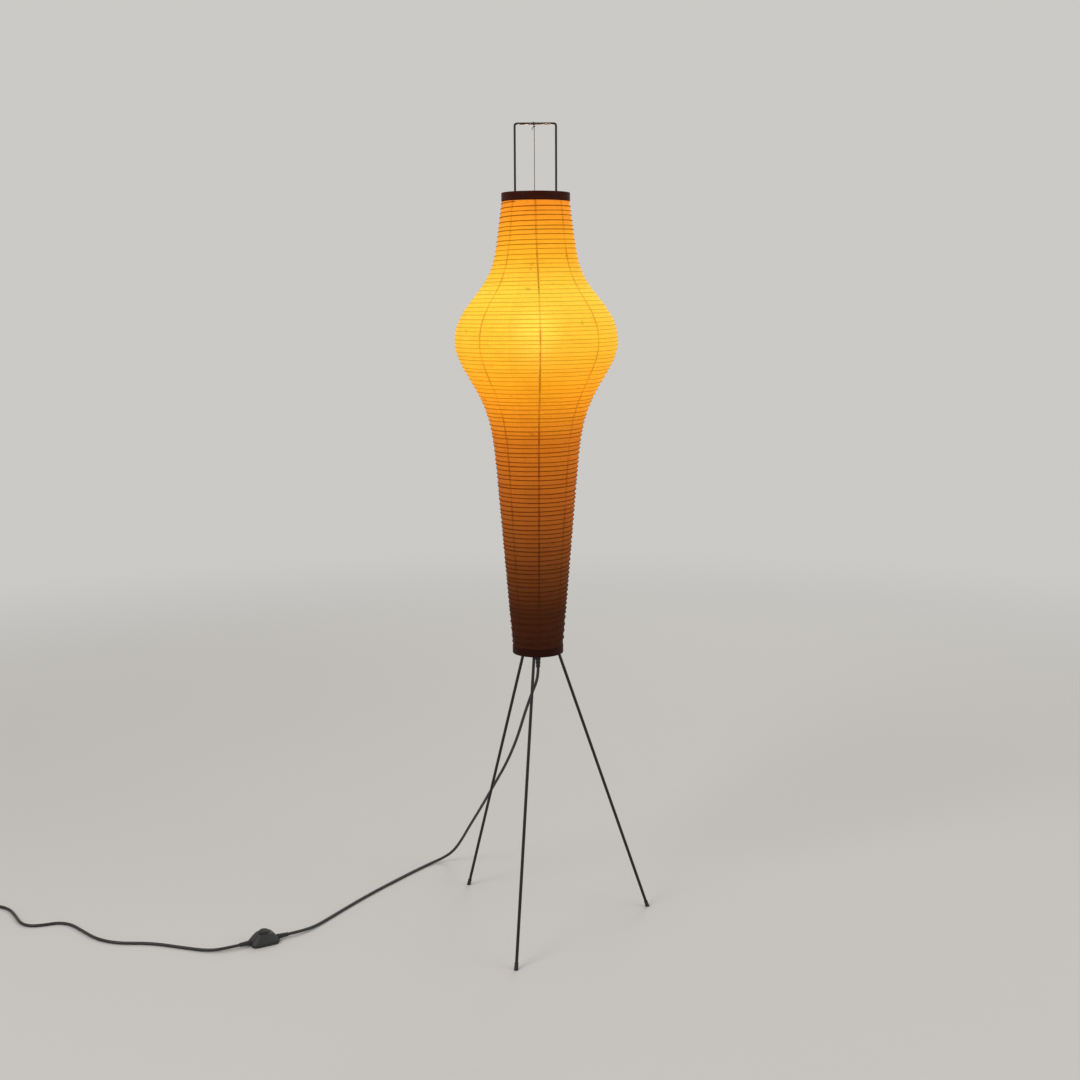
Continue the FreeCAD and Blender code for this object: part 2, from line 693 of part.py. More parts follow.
def make_cross_wire():
    """A wire across the top ring, bent past each upright so that the ring can slide down the frame."""
    half = float(frame_half)
    reach = float(size.top_ring_dia / 2 - size.top_ring_wall / 3)
    swerve = float((size.frame_wire_dia + size.cross_wire_dia) / 2 + size.moving_gap) + 0.1
    loop = float(size.cross_wire_loop) / 2
    ramp = swerve * 1.35
    level = float(top_ring_middle)
    left = [(-reach, 0), (-half - loop - ramp, 0), (-half - loop, swerve), (-half + loop, swerve),
            (-half + loop + ramp, 0)]
    right = [(-x, -y) for x, y in reversed(left)]
    path, _ = run_and_arc_wire([(x, y, level) for x, y in left + right])
    feature("ring_cross_wire", tube_along(path, float(size.cross_wire_dia)))


make_base_ring()
make_top_ring()

# ---- wire frame and string ----

bar_height = size.lamp_height - size.frame_wire_dia / 2


def make_wire_frame():
    half = float(frame_half)
    foot = float(hub_top - size.frame_insertion)
    top = float(bar_height)
    path = bent_wire(((-half, 0, foot), (-half, 0, top), (half, 0, top), (half, 0, foot)),
                     float(size.frame_bend_radius))
    feature("wire_frame", tube_along(path, float(size.frame_wire_dia)))


def string_loop(name, inside, height):
    """One turn of the string round a wire along X, pressed a little wider than the string is thick."""
    along = FreeCAD.Rotation(FreeCAD.Vector(0, 1, 0), 90)
    wide = size.string_loop_width
    start = size.string_offset - wide / 2
    turn = cylinder(name + "_turn", inside + size.string_dia, wide, start, 0, height, along)
    eye = cylinder(name + "_eye", inside, wide + 2, start - 1, 0, height, along)
    return cut(name, turn, [eye])


def make_string():
    """The string that holds the top ring up: a loop round the bar and a loop round the cross wire."""
    upper_eye = size.frame_wire_dia / 2 + size.fit_gap
    lower_eye = size.cross_wire_dia / 2 + size.moving_gap
    top = bar_height - upper_eye - size.string_dia / 2
    bottom = top_ring_middle + lower_eye + size.string_dia / 2
    strand = cylinder("string_strand", size.string_dia / 2, top - bottom, size.string_offset, 0, bottom)
    upper = string_loop("string_upper_loop", upper_eye, bar_height)
    lower = string_loop("string_lower_loop", lower_eye, top_ring_middle)
    sub_part(fuse("shade_string", [strand, upper, lower]), "shade_string")


make_wire_frame()
make_cross_wire()
make_string()

# ---- paper lantern ----


def lantern_radius(height):
    """Outer radius of the paper at a height above the base ring: two cones, rounded where they meet, plus a bell
    whose two flanks have their own reach and fullness."""
    middle = float(size.bulge_height)
    body = float(size.body_radius)
    lower = float(size.shade_bottom_radius)
    upper = float(size.shade_top_radius)
    blend = float(size.body_blend)
    rising = lower + (body - lower) * height / middle
    falling = upper + (body - upper) * (float(size.shade_height) - height) / (float(size.shade_height) - middle)
    cones = (rising + falling) / 2 - math.hypot((rising - falling) / 2, blend)
    below = height < middle
    reach = float(size.bulge_reach_below if below else size.bulge_reach_above)
    fullness = float(size.bulge_fullness_below if below else size.bulge_fullness_above)
    peak = float(size.bulge_radius) - body + blend
    return cones + peak * math.exp(-((abs(height - middle) / reach) ** fullness))


def make_paper():
    """The paper, stretched straight from band to band as between ribs: the lantern's curve and the same curve one
    thickness inside it, turned about the axis."""
    foot = float(base_ring_top)
    count = PAPER_BAND_COUNT_PER_TURN * int(round(float(size.rib_turns)))
    heights = [float(size.shade_height) * index / count for index in range(count + 1)]
    thickness = FreeCAD.Vector(float(size.paper_thickness), 0, 0)
    outside = [FreeCAD.Vector(lantern_radius(h), 0, foot + h) for h in heights]
    inside = [point - thickness for point in reversed(outside)]
    section = Part.Face(Part.makePolygon(outside + inside + outside[:1]))
    shell = section.revolve(FreeCAD.Vector(0, 0, 0), FreeCAD.Vector(0, 0, 1), REVOLUTION)
    feature("paper_shade", shell)


def make_rib():
    """The bamboo rib that is wound round the lantern, one unbroken square strip."""
    margin = float(size.rib_end_margin)
    height = float(size.shade_height) - 2 * margin
    turns_in_all = float(size.rib_turns)
    stand_off = float(size.rib_width) / math.sqrt(2) + float(size.rib_gap)

    def place_at(turns):
        up = margin + height * turns / turns_in_all
        angle = 2 * math.pi * turns
        radius = lantern_radius(up) + stand_off
        return FreeCAD.Vector(radius * math.cos(angle), radius * math.sin(angle), float(base_ring_top) + up)

    quarters = int(round(4 * turns_in_all))
    path = Part.Wire(wound_edges(place_at, 0, turns_in_all, quarters))
    start = place_at(0)
    half = float(size.rib_width) / 2
    corners = [start + FreeCAD.Vector(across * half, 0, up * half)
               for across, up in ((-1, -1), (1, -1), (1, 1), (-1, 1), (-1, -1))]
    section = Part.makePolygon(corners)
    rib = path.makePipeShell([section], True, False)
    gap = least_gap_to_itself(place_at, 0, turns_in_all, float(size.rib_width) * math.sqrt(2))
    print(f"rib_winding: least gap to itself {gap:.2f}")
    feature("rib_winding", rib)


make_paper()
make_rib()

# ---- lampholder ----

bracket_top = base_ring_top + size.bulge_height - size.bracket_below_bulge
holder_radius = size.holder_dia / 2
holder_inside = holder_radius - size.holder_wall
core_bottom = bracket_top + size.core_base
core_top = core_bottom + size.core_height
contact_top = core_top + size.contact_height
bulb_foot = contact_top + size.moving_gap
nipple_hole = size.nipple_dia / 2 + size.fit_gap


def make_bracket():
    """A flat strip between two sleeves that are brazed to the frame's uprights."""
    underside = bracket_top - size.bracket_thickness
    strip = box("bracket_strip", size.frame_width, size.bracket_width, size.bracket_thickness,
                -frame_half, -size.bracket_width / 2, underside)
    sleeve_foot = bracket_top - size.bracket_thickness / 2 - size.bracket_sleeve_height / 2
    sleeves = []
    bores = []
    for index, side in enumerate((-1, 1)):
        x = frame_half * side
        sleeves.append(cylinder(f"bracket_sleeve_{index}", size.bracket_sleeve_dia / 2,
                                size.bracket_sleeve_height, x, 0, sleeve_foot))
        bores.append(cylinder(f"bracket_bore_{index}", size.frame_wire_dia / 2 + size.fit_gap,
                              size.bracket_sleeve_height + 2, x, 0, sleeve_foot - 1))
    bores.append(cylinder("bracket_nipple_hole", nipple_hole, size.bracket_thickness + 2, 0, 0, underside - 1))
    solid = fuse("bracket_blank", [strip] + sleeves)
    sub_part(cut("lampholder_bracket", solid, bores), "lampholder_bracket")


def make_nipple_and_nut():
    foot = bracket_top - size.bracket_thickness - size.nipple_below
    nipple = turned("holder_nipple", (
        (size.nipple_bore / 2, 0),
        (size.nipple_dia / 2, 0),
        (size.nipple_dia / 2, size.nipple_below + size.bracket_thickness + size.nipple_above),
        (size.nipple_bore / 2, size.nipple_below + size.bracket_thickness + size.nipple_above),
    ), z=foot)
    sub_part(nipple, "holder_nipple")
    nut_foot = bracket_top - size.bracket_thickness - size.nipple_nut_height
    blank = doc.addObject("Part::Prism", "nut_blank")
    blank.Polygon = HEXAGON_SIDE_COUNT
    bind(blank, Circumradius=size.nipple_nut_width / 2, Height=size.nipple_nut_height)
    place(blank, 0, 0, nut_foot)
    bore = cylinder("nut_bore", nipple_hole, size.nipple_nut_height + 2, 0, 0, nut_foot - 1)
    sub_part(cut("holder_nut", blank, [bore]), "holder_nut")


def make_holder_cap():
    """The moulded lower cap: a flat foot on the bracket, a flared wall and a ledge that carries the porcelain."""
    neck = size.holder_cap_neck_dia / 2
    wall = size.holder_wall
    slope = size.core_base - wall
    cap = turned("lampholder_cap", (
        (nipple_hole, 0),
        (neck, 0),
        (holder_radius, slope),
        (holder_radius, size.holder_cap_height),
        (holder_inside, size.holder_cap_height),
        (holder_inside, size.core_base),
        (holder_inside - wall, size.core_base),
        (neck - wall, wall + 1),
        (nipple_hole, wall + 1),
    ), z=bracket_top)
    sub_part(cap, "lampholder_cap")


def make_holder_shell():
    """The skirt round the bulb's cap, open above, with a rolled-in mouth."""
    height = size.holder_shell_height
    lip = size.holder_lip
    foot = bracket_top + size.holder_cap_height
    shell = turned("lampholder_shell", (
        (holder_inside, 0),
        (holder_radius, 0),
        (holder_radius, height - lip),
        (holder_radius - lip, height),
        (holder_inside, height),
    ), z=foot)
    sub_part(shell, "lampholder_shell")


def make_core():
    """The porcelain body, with two terminal holes."""
    radius = holder_inside - size.fit_gap
    disc = cylinder("core_disc", radius, size.core_height, 0, 0, core_bottom)
    holes = []
    for index, side in enumerate((-1, 1)):
        holes.append(cylinder(f"core_hole_{index}", size.core_hole_dia / 2, size.core_height + 2,
                              0, size.core_hole_offset * side, core_bottom - 1))
    sub_part(cut("lampholder_core", disc, holes), "lampholder_core")


def make_contacts():
    contact = turned("centre_contact", (
        (0, 0),
        (size.contact_dia / 2, 0),
        (size.contact_dia / 2, size.contact_height * 0.6),
        (size.contact_dia / 4, size.contact_height),
        (0, size.contact_height),
    ), z=core_top)
    sub_part(contact, "centre_contact")
    inner = size.bulb_cap_dia / 2 + size.moving_gap
    sleeve = turned("thread_sleeve", (
        (inner, 0),
        (inner + size.thread_sleeve_wall, 0),
        (inner + size.thread_sleeve_wall, size.thread_sleeve_height),
        (inner, size.thread_sleeve_height),
    ), z=core_top)
    sub_part(sleeve, "thread_sleeve")


make_bracket()
make_nipple_and_nut()
make_holder_cap()
make_holder_shell()
make_core()
make_contacts()

# ---- bulb ----


def make_bulb_cap():
    """The screw cap: a thin cup on a tapered insulator with a hole for the solder contact."""
    outer = size.bulb_cap_dia / 2
    inner = outer - size.bulb_cap_wall
    hole = size.bulb_tip_dia / 2 + size.fit_gap
    foot = size.bulb_tip_height / 2
    taper = size.bulb_cap_taper
    insulator_top = foot + size.bulb_insulator_height
    cap = turned("bulb_cap", (
        (hole, foot),
        (outer - taper, foot + taper / 3),
        (outer, foot + taper),
        (outer, size.bulb_cap_height),
        (inner, size.bulb_cap_height),
        (inner, insulator_top),
        (hole, insulator_top),
    ), z=bulb_foot)
    sub_part(cap, "bulb_cap")
    tip = turned("bulb_tip", (
        (0, 0),
        (size.bulb_tip_dia / 4, 0),
        (size.bulb_tip_dia / 2, size.bulb_tip_height / 2),
        (size.bulb_tip_dia / 2, size.bulb_tip_height),
        (0, size.bulb_tip_height),
    ), z=bulb_foot)
    sub_part(tip, "bulb_tip")


def make_bulb_glass():
    """The glass envelope: neck, hollow throat and globe, drawn as narrow bands between points of those curves."""
    globe = float(size.bulb_dia) / 2
    throat = float(size.bulb_throat_radius)
    neck = float(size.bulb_neck_radius)
    middle = float(bulb_foot + size.bulb_length) - globe
    drop = math.sqrt((globe + throat) ** 2 - (neck + throat) ** 2)
    slope = math.atan2(drop, neck + throat)
    foot = float(bulb_foot + size.bulb_tip_height / 2 + size.bulb_glass_start)

    def side(offset):
        """Points of the side, this far inside the glass's outer face, from the neck to the crown."""
        points = [FreeCAD.Vector(neck - offset, 0, foot)]
        for step in range(THROAT_BAND_COUNT):
            angle = slope * step / THROAT_BAND_COUNT
            hollow = throat + offset
            points.append(FreeCAD.Vector(neck + throat - hollow * math.cos(angle), 0,
                                         middle - drop + hollow * math.sin(angle)))
        for step in range(GLOBE_BAND_COUNT + 1):
            angle = -slope + (slope + math.pi / 2) * step / GLOBE_BAND_COUNT
            radius = globe - offset
            points.append(FreeCAD.Vector(radius * math.cos(angle), 0, middle + radius * math.sin(angle)))
        points[-1].x = 0
        return points

    outside = side(0)
    inside = side(float(size.bulb_glass_wall))
    section = Part.Face(Part.makePolygon(outside + inside[::-1] + outside[:1]))
    feature("bulb_glass", section.revolve(FreeCAD.Vector(0, 0, 0), FreeCAD.Vector(0, 0, 1), REVOLUTION))


make_bulb_cap()
make_bulb_glass()

# ---- mains lead inside the lamp, and its relief ----

relief_foot = hub_underside - size.relief_length
web_top = hub_underside + size.hub_web


def make_relief():
    """The moulded relief: a head on the hub's web, a stem through it and a tapered tail below."""
    bore = size.cord_dia / 2 + size.fit_gap
    stem = size.relief_dia / 2
    top = size.relief_length + size.hub_web
    relief = turned("cord_strain_relief", (
        (bore, 0),
        (size.relief_tip_dia / 2, 0),
        (stem, size.relief_length),
        (stem, top),
        (size.relief_head_dia / 2, top),
        (size.relief_head_dia / 2, top + size.relief_head_height),
        (bore, top + size.relief_head_height),
    ), z=relief_foot)
    sub_part(relief, "cord_strain_relief")


def make_inner_cord():
    top = bracket_top + size.core_base - size.inner_cord_end
    lead = cylinder("inner_cord", size.cord_dia / 2, top - relief_foot, 0, 0, relief_foot)
    sub_part(lead, "inner_cord")


make_relief()
make_inner_cord()

# ---- free lead, foot switch, coil and plug ----

switch_turn = FreeCAD.Rotation(FreeCAD.Vector(0, 0, 1), SWITCH_BEARING)


def at_switch(along, across=0, up=0):
    """A point of the switch, given along the lead towards the lamp, across it and up."""
    angle = math.radians(SWITCH_BEARING)
    along = as_size(along)
    across = as_size(across)
    x = SWITCH_PLACE[0] + along * math.cos(angle) - across * math.sin(angle)
    y = SWITCH_PLACE[1] + along * math.sin(angle) + across * math.cos(angle)
    return x, y, as_size(up)


def rounded_plate(length, width, corner, height):
    """A closed wire, a rectangle with round corners, centred on the axis at this height."""
    x, y, r = float(length) / 2, float(width) / 2, float(corner)
    z = float(height)
    diagonal = r * (1 - math.sqrt(0.5))
    edges = []
    for sx, sy in ((1, 1), (-1, 1), (-1, -1), (1, -1)):
        a = FreeCAD.Vector(sx * x, sy * (y - r), z)
        b = FreeCAD.Vector(sx * (x - diagonal), sy * (y - diagonal), z)
        c = FreeCAD.Vector(sx * (x - r), sy * y, z)
        edges.append((a, b, c) if sx * sy > 0 else (c, b, a))
    shapes = []
    for (a, b, c), (following, _, _) in zip(edges, edges[1:] + edges[:1]):
        shapes.append(Part.Arc(a, b, c).toShape())
        shapes.append(Part.LineSegment(c, following).toShape())
    return Part.Wire(shapes)


def in_switch(shape):
    """Moves a shape from the switch's own axes to its place on the floor."""
    shape.Placement = FreeCAD.Placement(FreeCAD.Vector(SWITCH_PLACE[0], SWITCH_PLACE[1], 0), switch_turn)
    return shape


def loft(sections):
    return Part.makeLoft(sections, True, True)


def round_bar(radius, low, high, x=0.0, y=0.0):
    return Part.makeCylinder(float(radius), float(high) - float(low), FreeCAD.Vector(float(x), float(y), float(low)))


def lead_bore(end, radius):
    """The opening for the lead at one end of the switch, along its length."""
    start = FreeCAD.Vector(0, 0, float(size.switch_cord_height))
    return Part.makeCylinder(float(radius), float(size.switch_length), start, FreeCAD.Vector(end, 0, 0))


switch_top = size.switch_base_height + size.switch_cover_height
SWITCH_ENDS = (("lamp", 1), ("plug", -1))
button_hole = size.button_dia / 2 + size.moving_gap
screw_places = [(side * size.switch_screw_along, side * size.switch_screw_across) for side in (-1, 1)]
lead_seat = size.switch_relief_dia / 2 + size.fit_gap


def make_switch_base():
    """The lower shell: a dished tray with screw holes, and half of each opening for the lead."""
    length, width, corner = size.switch_length, size.switch_width, size.switch_corner
    wall = float(size.switch_wall)
    top = size.switch_base_height
    draft = size.switch_foot_draft
    foot_length, foot_width, foot_corner = length - draft * 2, width - draft * 2, corner - draft
    outside = loft([rounded_plate(foot_length, foot_width, foot_corner, 0), rounded_plate(length, width, corner, top)])
    inside = loft([
        rounded_plate(foot_length - 2 * wall, foot_width - 2 * wall, foot_corner - wall, wall),
        rounded_plate(length - 2 * wall, width - 2 * wall, corner - wall, top),
    ])
    tray = outside.cut(inside)
    for x, y in screw_places:
        post = round_bar(size.switch_screw_head_dia / 2 + 1, 0, top, x, y)
        tray = tray.fuse(post.common(outside))
        tray = tray.cut(round_bar(size.switch_screw_dia / 2 + size.fit_gap, -1, top + 1, x, y))
        tray = tray.cut(round_bar(size.switch_screw_head_dia / 2 + size.fit_gap, -1, size.switch_screw_seat, x, y))
    for _, end in SWITCH_ENDS:
        tray = tray.cut(lead_bore(end, lead_seat))
    feature("switch_base", in_switch(tray.removeSplitter()))


def make_switch_cover():
    """The upper shell: sloped on all sides to a flat top that has the button's hole."""
    length, width, corner = size.switch_length, size.switch_width, size.switch_corner
    wall = float(size.switch_wall)
    low = size.switch_base_height
    top_length, top_width, top_corner = size.switch_top_length, size.switch_top_width, size.switch_top_corner
    outside = loft([rounded_plate(length, width, corner, low),
                    rounded_plate(top_length, top_width, top_corner, switch_top)])
    inside = loft([
        rounded_plate(length - 2 * wall, width - 2 * wall, corner - wall, low),
        rounded_plate(top_length - 1, top_width - 1, top_corner - 0.5, switch_top - wall),
    ])
    hood = outside.cut(inside)
    hood = hood.cut(round_bar(button_hole, low, switch_top + 1))
    for x, y in screw_places:
        post = round_bar(size.switch_screw_dia / 2 + 1.2, low, low + size.switch_screw_grip + 2, x, y)
        hood = hood.fuse(post.common(outside))
        hood = hood.cut(round_bar(size.switch_screw_dia / 2 + size.fit_gap, low - 1, low + size.switch_screw_grip, x, y))
    for _, end in SWITCH_ENDS:
        hood = hood.cut(lead_bore(end, lead_seat))
    feature("switch_cover", in_switch(hood.removeSplitter()))


def make_switch_button():
    """The button, standing above the hood, with a flange below that keeps it in."""
    radius = size.button_dia / 2
    edge = size.button_edge
    flange_top = switch_top - size.switch_wall - size.moving_gap
    flange_foot = flange_top - size.button_flange_height
    x, y, _ = at_switch(0)
    top = switch_top + size.button_rise - flange_foot
    button = turned("switch_button", (
        (0, 0),
        (size.button_flange_dia / 2, 0),
        (size.button_flange_dia / 2, size.button_flange_height),
        (radius, size.button_flange_height),
        (radius, top - edge),
        (radius - edge, top - edge / 4),
        (radius / 2, top),
        (0, top),
    ), x, y, flange_foot)
    sub_part(button, "switch_button")
    return flange_foot


def make_switch_inside(button_foot):
    """The contact block on the lower shell, and the leaf spring between it and the button."""
    floor = float(size.switch_wall)
    block_top = floor + float(size.switch_block_height)
    long, wide = float(size.switch_block_length), float(size.switch_block_width)
    block = Part.makeBox(long, wide, float(size.switch_block_height), FreeCAD.Vector(-long / 2, -wide / 2, floor))
    feature("switch_block", in_switch(block))
    thick = float(size.lever_thickness)
    half = float(size.lever_length) / 2
    deep = float(size.lever_width)
    crown = float(button_foot) - float(size.moving_gap)
    low = [FreeCAD.Vector(-half, 0, block_top), FreeCAD.Vector(0, 0, crown - thick), FreeCAD.Vector(half, 0, block_top)]
    high = [point + FreeCAD.Vector(0, 0, thick) for point in low]
    section = Part.Face(Part.Wire([
        Part.Arc(*low).toShape(),
        Part.LineSegment(low[2], high[2]).toShape(),
        Part.Arc(*high).toShape(),
        Part.LineSegment(high[0], low[0]).toShape(),
    ]))
    section.translate(FreeCAD.Vector(0, -deep / 2, 0))
    feature("switch_spring", in_switch(section.extrude(FreeCAD.Vector(0, deep, 0))))


def make_switch_screws():
    screws = []
    seat = size.switch_screw_seat - size.fit_gap
    top = size.switch_base_height + size.switch_screw_grip - 1
    for x, y in screw_places:
        head = round_bar(size.switch_screw_head_dia / 2, 0.5, seat, x, y)
        slot_corner = FreeCAD.Vector(float(x - size.switch_screw_head_dia), float(y) - 0.4, 0.4)
        slot = Part.makeBox(float(size.switch_screw_head_dia) * 2, 0.8, 0.7, slot_corner)
        shank = round_bar(size.switch_screw_dia / 2, seat - 0.2, top, x, y)
        screws.append(head.cut(slot).fuse(shank))
    feature("switch_screws", in_switch(Part.makeCompound(screws)))


def make_switch_reliefs():
    for end, way in SWITCH_ENDS:
        name = "switch_relief_" + end
        turn = switch_turn.multiply(FreeCAD.Rotation(FreeCAD.Vector(0, 1, 0), 90 * way))
        inside = size.switch_wall * 2.5
        x, y, z = at_switch((size.switch_length / 2 - inside) * way, 0, size.switch_cord_height)
        bore = size.cord_dia / 2 + size.fit_gap
        relief = turned(name, (
            (bore, 0),
            (size.switch_relief_dia / 2, 0),
            (size.switch_relief_dia / 2, inside),
            (size.switch_relief_tip_dia / 2, inside + size.switch_relief_length),
            (bore, inside + size.switch_relief_length),
        ), x, y, z, turn)
        sub_part(relief, name)


make_switch_base()
make_switch_cover()
make_switch_inside(make_switch_button())
make_switch_screws()
make_switch_reliefs()

lead_thickness = float(size.cord_dia)
drop_share = float(relief_foot) / LEAD_TO_SWITCH[0][2]
lead_from_lamp = [(x, y, z * drop_share if z > HANGING_ABOVE else z) for x, y, z in LEAD_TO_SWITCH]
visible_length = lead_tube("cord_to_switch", lead_from_lamp, lead_thickness)
visible_length += lead_tube("cord_from_switch", LEAD_FROM_SWITCH, lead_thickness)

coil_turns = float(size.coil_turns_in * 2 + size.coil_turns_climb)
coil_centre = (COIL_ENTRY[0] - lead_thickness, COIL_ENTRY[1] - float(size.coil_start_radius))


def coil_point(turns):
    """The lead's axis in the coil: inwards on the floor, up a layer at a steady radius, and outwards again."""
    pitch = float(size.coil_pitch)
    inwards = float(size.coil_turns_in)
    climb = float(size.coil_turns_climb)
    angle = math.pi / 2 + 2 * math.pi * turns
    shrink = min(turns, inwards) - max(turns - inwards - climb, 0)
    share = min(max((turns - inwards) / climb, 0), 1)
    rise = pitch * (1 - math.cos(math.pi * share)) / 2
    radius = float(size.coil_start_radius) - pitch * shrink
    return FreeCAD.Vector(coil_centre[0] + radius * math.cos(angle), coil_centre[1] + radius * math.sin(angle),
                          COIL_ENTRY[2] + rise)


def make_coil():
    steps = int(round(coil_turns * 4))
    edges = wound_edges(coil_point, 0, coil_turns, steps)
    first, last = coil_point(0), coil_point(coil_turns)
    first_way = edges[0].tangentAt(edges[0].FirstParameter)
    lead_in = Part.LineSegment(first - first_way * lead_thickness, first).toShape()
    last_way = (coil_point(coil_turns) - coil_point(coil_turns - 1e-4)).normalize()
    tail_end = last + last_way * float(size.coil_tail)
    lead_out = Part.LineSegment(last, tail_end).toShape()
    path = Part.Wire([lead_in] + edges + [lead_out])
    start = first - first_way * lead_thickness
    aside = FreeCAD.Vector(0, 0, 1).cross(first_way).normalize()
    rim = []
    for index in range(COIL_SIDE_COUNT + 1):
        angle = 2 * math.pi * (index + 0.5) / COIL_SIDE_COUNT
        rim.append(start + (aside * math.cos(angle) + FreeCAD.Vector(0, 0, math.sin(angle))) * (lead_thickness / 2))
    solid = path.makePipeShell([Part.makePolygon(rim)], True, False)
    swept_volume_note("cord_coil", path, lead_thickness, solid)
    gap = least_gap_to_itself(coil_point, 0, coil_turns, lead_thickness)
    print(f"cord_coil: {coil_turns:.2f} turns, least gap to itself {gap:.2f}")
    feature("cord_coil", solid)
    return path.Length, tail_end, last_way


coil_length, plug_start, plug_way = make_coil()
print(f"whole free lead {visible_length + coil_length:.0f}")


def make_coil_tie():
    """A band round all the turns at the coil's right side."""
    pitch = float(size.coil_pitch)
    slack = float(size.tie_slack)
    band = float(size.tie_thickness)
    outer = float(size.coil_start_radius) + lead_thickness / 2 + slack
    inner = outer - 2 * slack - lead_thickness - pitch * float(size.coil_turns_in) - pitch * 0.2
    low = band
    high = COIL_ENTRY[2] + pitch + lead_thickness / 2 + slack
    wide = float(size.tie_width)

    x, y = coil_centre

    def block(grow, across):
        corner = FreeCAD.Vector(x + inner - grow, y - across / 2, low - grow)
        return Part.makeBox(outer - inner + 2 * grow, across, high - low + 2 * grow, corner)

    feature("coil_tie", block(band, wide).cut(block(0, wide + 2)))


make_coil_tie()

plug_bearing = math.degrees(math.atan2(plug_way.y, plug_way.x))
plug_turn = FreeCAD.Rotation(FreeCAD.Vector(0, 0, 1), plug_bearing)


def in_plug(shape):
    """Moves a shape from the plug's own axes, +X along the lead, to the end of the coil's tail."""
    shape.Placement = FreeCAD.Placement(plug_start, plug_turn)
    return shape


def make_plug():
    """A flat two-blade plug on a tapered relief."""
    relief_long = float(size.plug_relief_length)
    long = float(size.plug_length)
    tip = float(size.plug_relief_tip_dia) / 2
    root = float(size.plug_relief_dia) / 2
    taper = Part.makeCone(tip, root, relief_long, FreeCAD.Vector(0, 0, 0), FreeCAD.Vector(1, 0, 0))
    feature("plug_relief", in_plug(taper))
    back = float(size.plug_width) / 2
    front = float(size.plug_front_width) / 2
    waist = relief_long + float(size.plug_shoulder)
    neck = float(size.plug_neck_width) / 2
    half_plan = [(relief_long, -neck), (waist, -back), (relief_long + long, -front)]
    plan = half_plan + [(along, -across) for along, across in reversed(half_plan)]
    corners = [FreeCAD.Vector(along, across, 0) for along, across in plan]
    face = Part.Face(Part.makePolygon(corners + corners[:1]))
    high = float(size.plug_height)
    drop = plug_start.z - high / 2
    face.translate(FreeCAD.Vector(0, 0, -high / 2 - min(drop, 0)))
    body = face.extrude(FreeCAD.Vector(0, 0, high))
    upright = [edge for edge in body.Edges
               if edge.BoundBox.ZLength > high / 2 and edge.BoundBox.XMax < relief_long + long - 1]
    body = body.makeFillet(float(size.plug_edge), upright)
    root_long = float(size.blade_root)
    blades = []
    for side in (-1, 1):
        blade = Part.makeBox(root_long + float(size.blade_length), float(size.blade_thickness),
                             float(size.blade_width))
        blade.translate(FreeCAD.Vector(relief_long + long - root_long,
                                       side * float(size.blade_spacing) / 2 - float(size.blade_thickness) / 2,
                                       -float(size.blade_width) / 2))
        blades.append(blade)
    for blade in blades:
        body = body.cut(blade)
    feature("plug_body", in_plug(body))
    feature("plug_blades", in_plug(Part.makeCompound(blades)))


make_plug()

# ---- check and write ----

doc.recompute()
for thing in doc.Objects:
    if "Invalid" in thing.State or "Error" in thing.State:
        raise RuntimeError(f"{thing.Name} did not compute: {thing.State}")
for part in parts:
    if part.Shape.isNull() or not part.Shape.isValid():
        raise RuntimeError(f"{part.Label} has no sound shape")
    if not part.Shape.Solids:
        raise RuntimeError(f"{part.Label} has no solid")

os.makedirs("parts", exist_ok=True)
for part in parts:
    part.Shape.exportStep(f"parts/{part.Label}.step")
print(f"{len(parts)} pieces written")
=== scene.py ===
import json
import math

import bpy
import numpy as np
from mathutils import Matrix, Vector


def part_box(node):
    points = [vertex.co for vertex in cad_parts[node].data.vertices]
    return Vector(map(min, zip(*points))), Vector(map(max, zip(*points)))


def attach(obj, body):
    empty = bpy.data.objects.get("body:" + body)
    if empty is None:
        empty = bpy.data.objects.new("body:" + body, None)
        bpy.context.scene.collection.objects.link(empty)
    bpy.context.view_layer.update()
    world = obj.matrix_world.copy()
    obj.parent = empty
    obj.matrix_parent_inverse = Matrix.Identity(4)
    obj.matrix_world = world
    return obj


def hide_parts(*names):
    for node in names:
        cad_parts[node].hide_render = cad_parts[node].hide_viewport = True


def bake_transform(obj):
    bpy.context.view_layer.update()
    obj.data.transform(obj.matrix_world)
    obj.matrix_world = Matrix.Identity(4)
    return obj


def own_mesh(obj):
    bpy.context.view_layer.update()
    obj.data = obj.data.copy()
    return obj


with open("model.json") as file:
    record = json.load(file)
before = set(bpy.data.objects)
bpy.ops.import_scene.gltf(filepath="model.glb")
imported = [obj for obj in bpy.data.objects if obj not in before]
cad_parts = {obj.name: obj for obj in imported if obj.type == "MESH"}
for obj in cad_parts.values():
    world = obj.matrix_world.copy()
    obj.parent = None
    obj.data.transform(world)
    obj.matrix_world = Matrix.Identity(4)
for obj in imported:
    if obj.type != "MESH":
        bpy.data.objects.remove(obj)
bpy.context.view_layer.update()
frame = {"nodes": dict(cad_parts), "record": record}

# Looks of the paper lantern floor lamp, in metres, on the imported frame: +Z up, the front faces -Y.

NODES = frame["nodes"]
scene = bpy.context.scene
TAU = 2 * math.pi

# ---- camera, light and floor ----

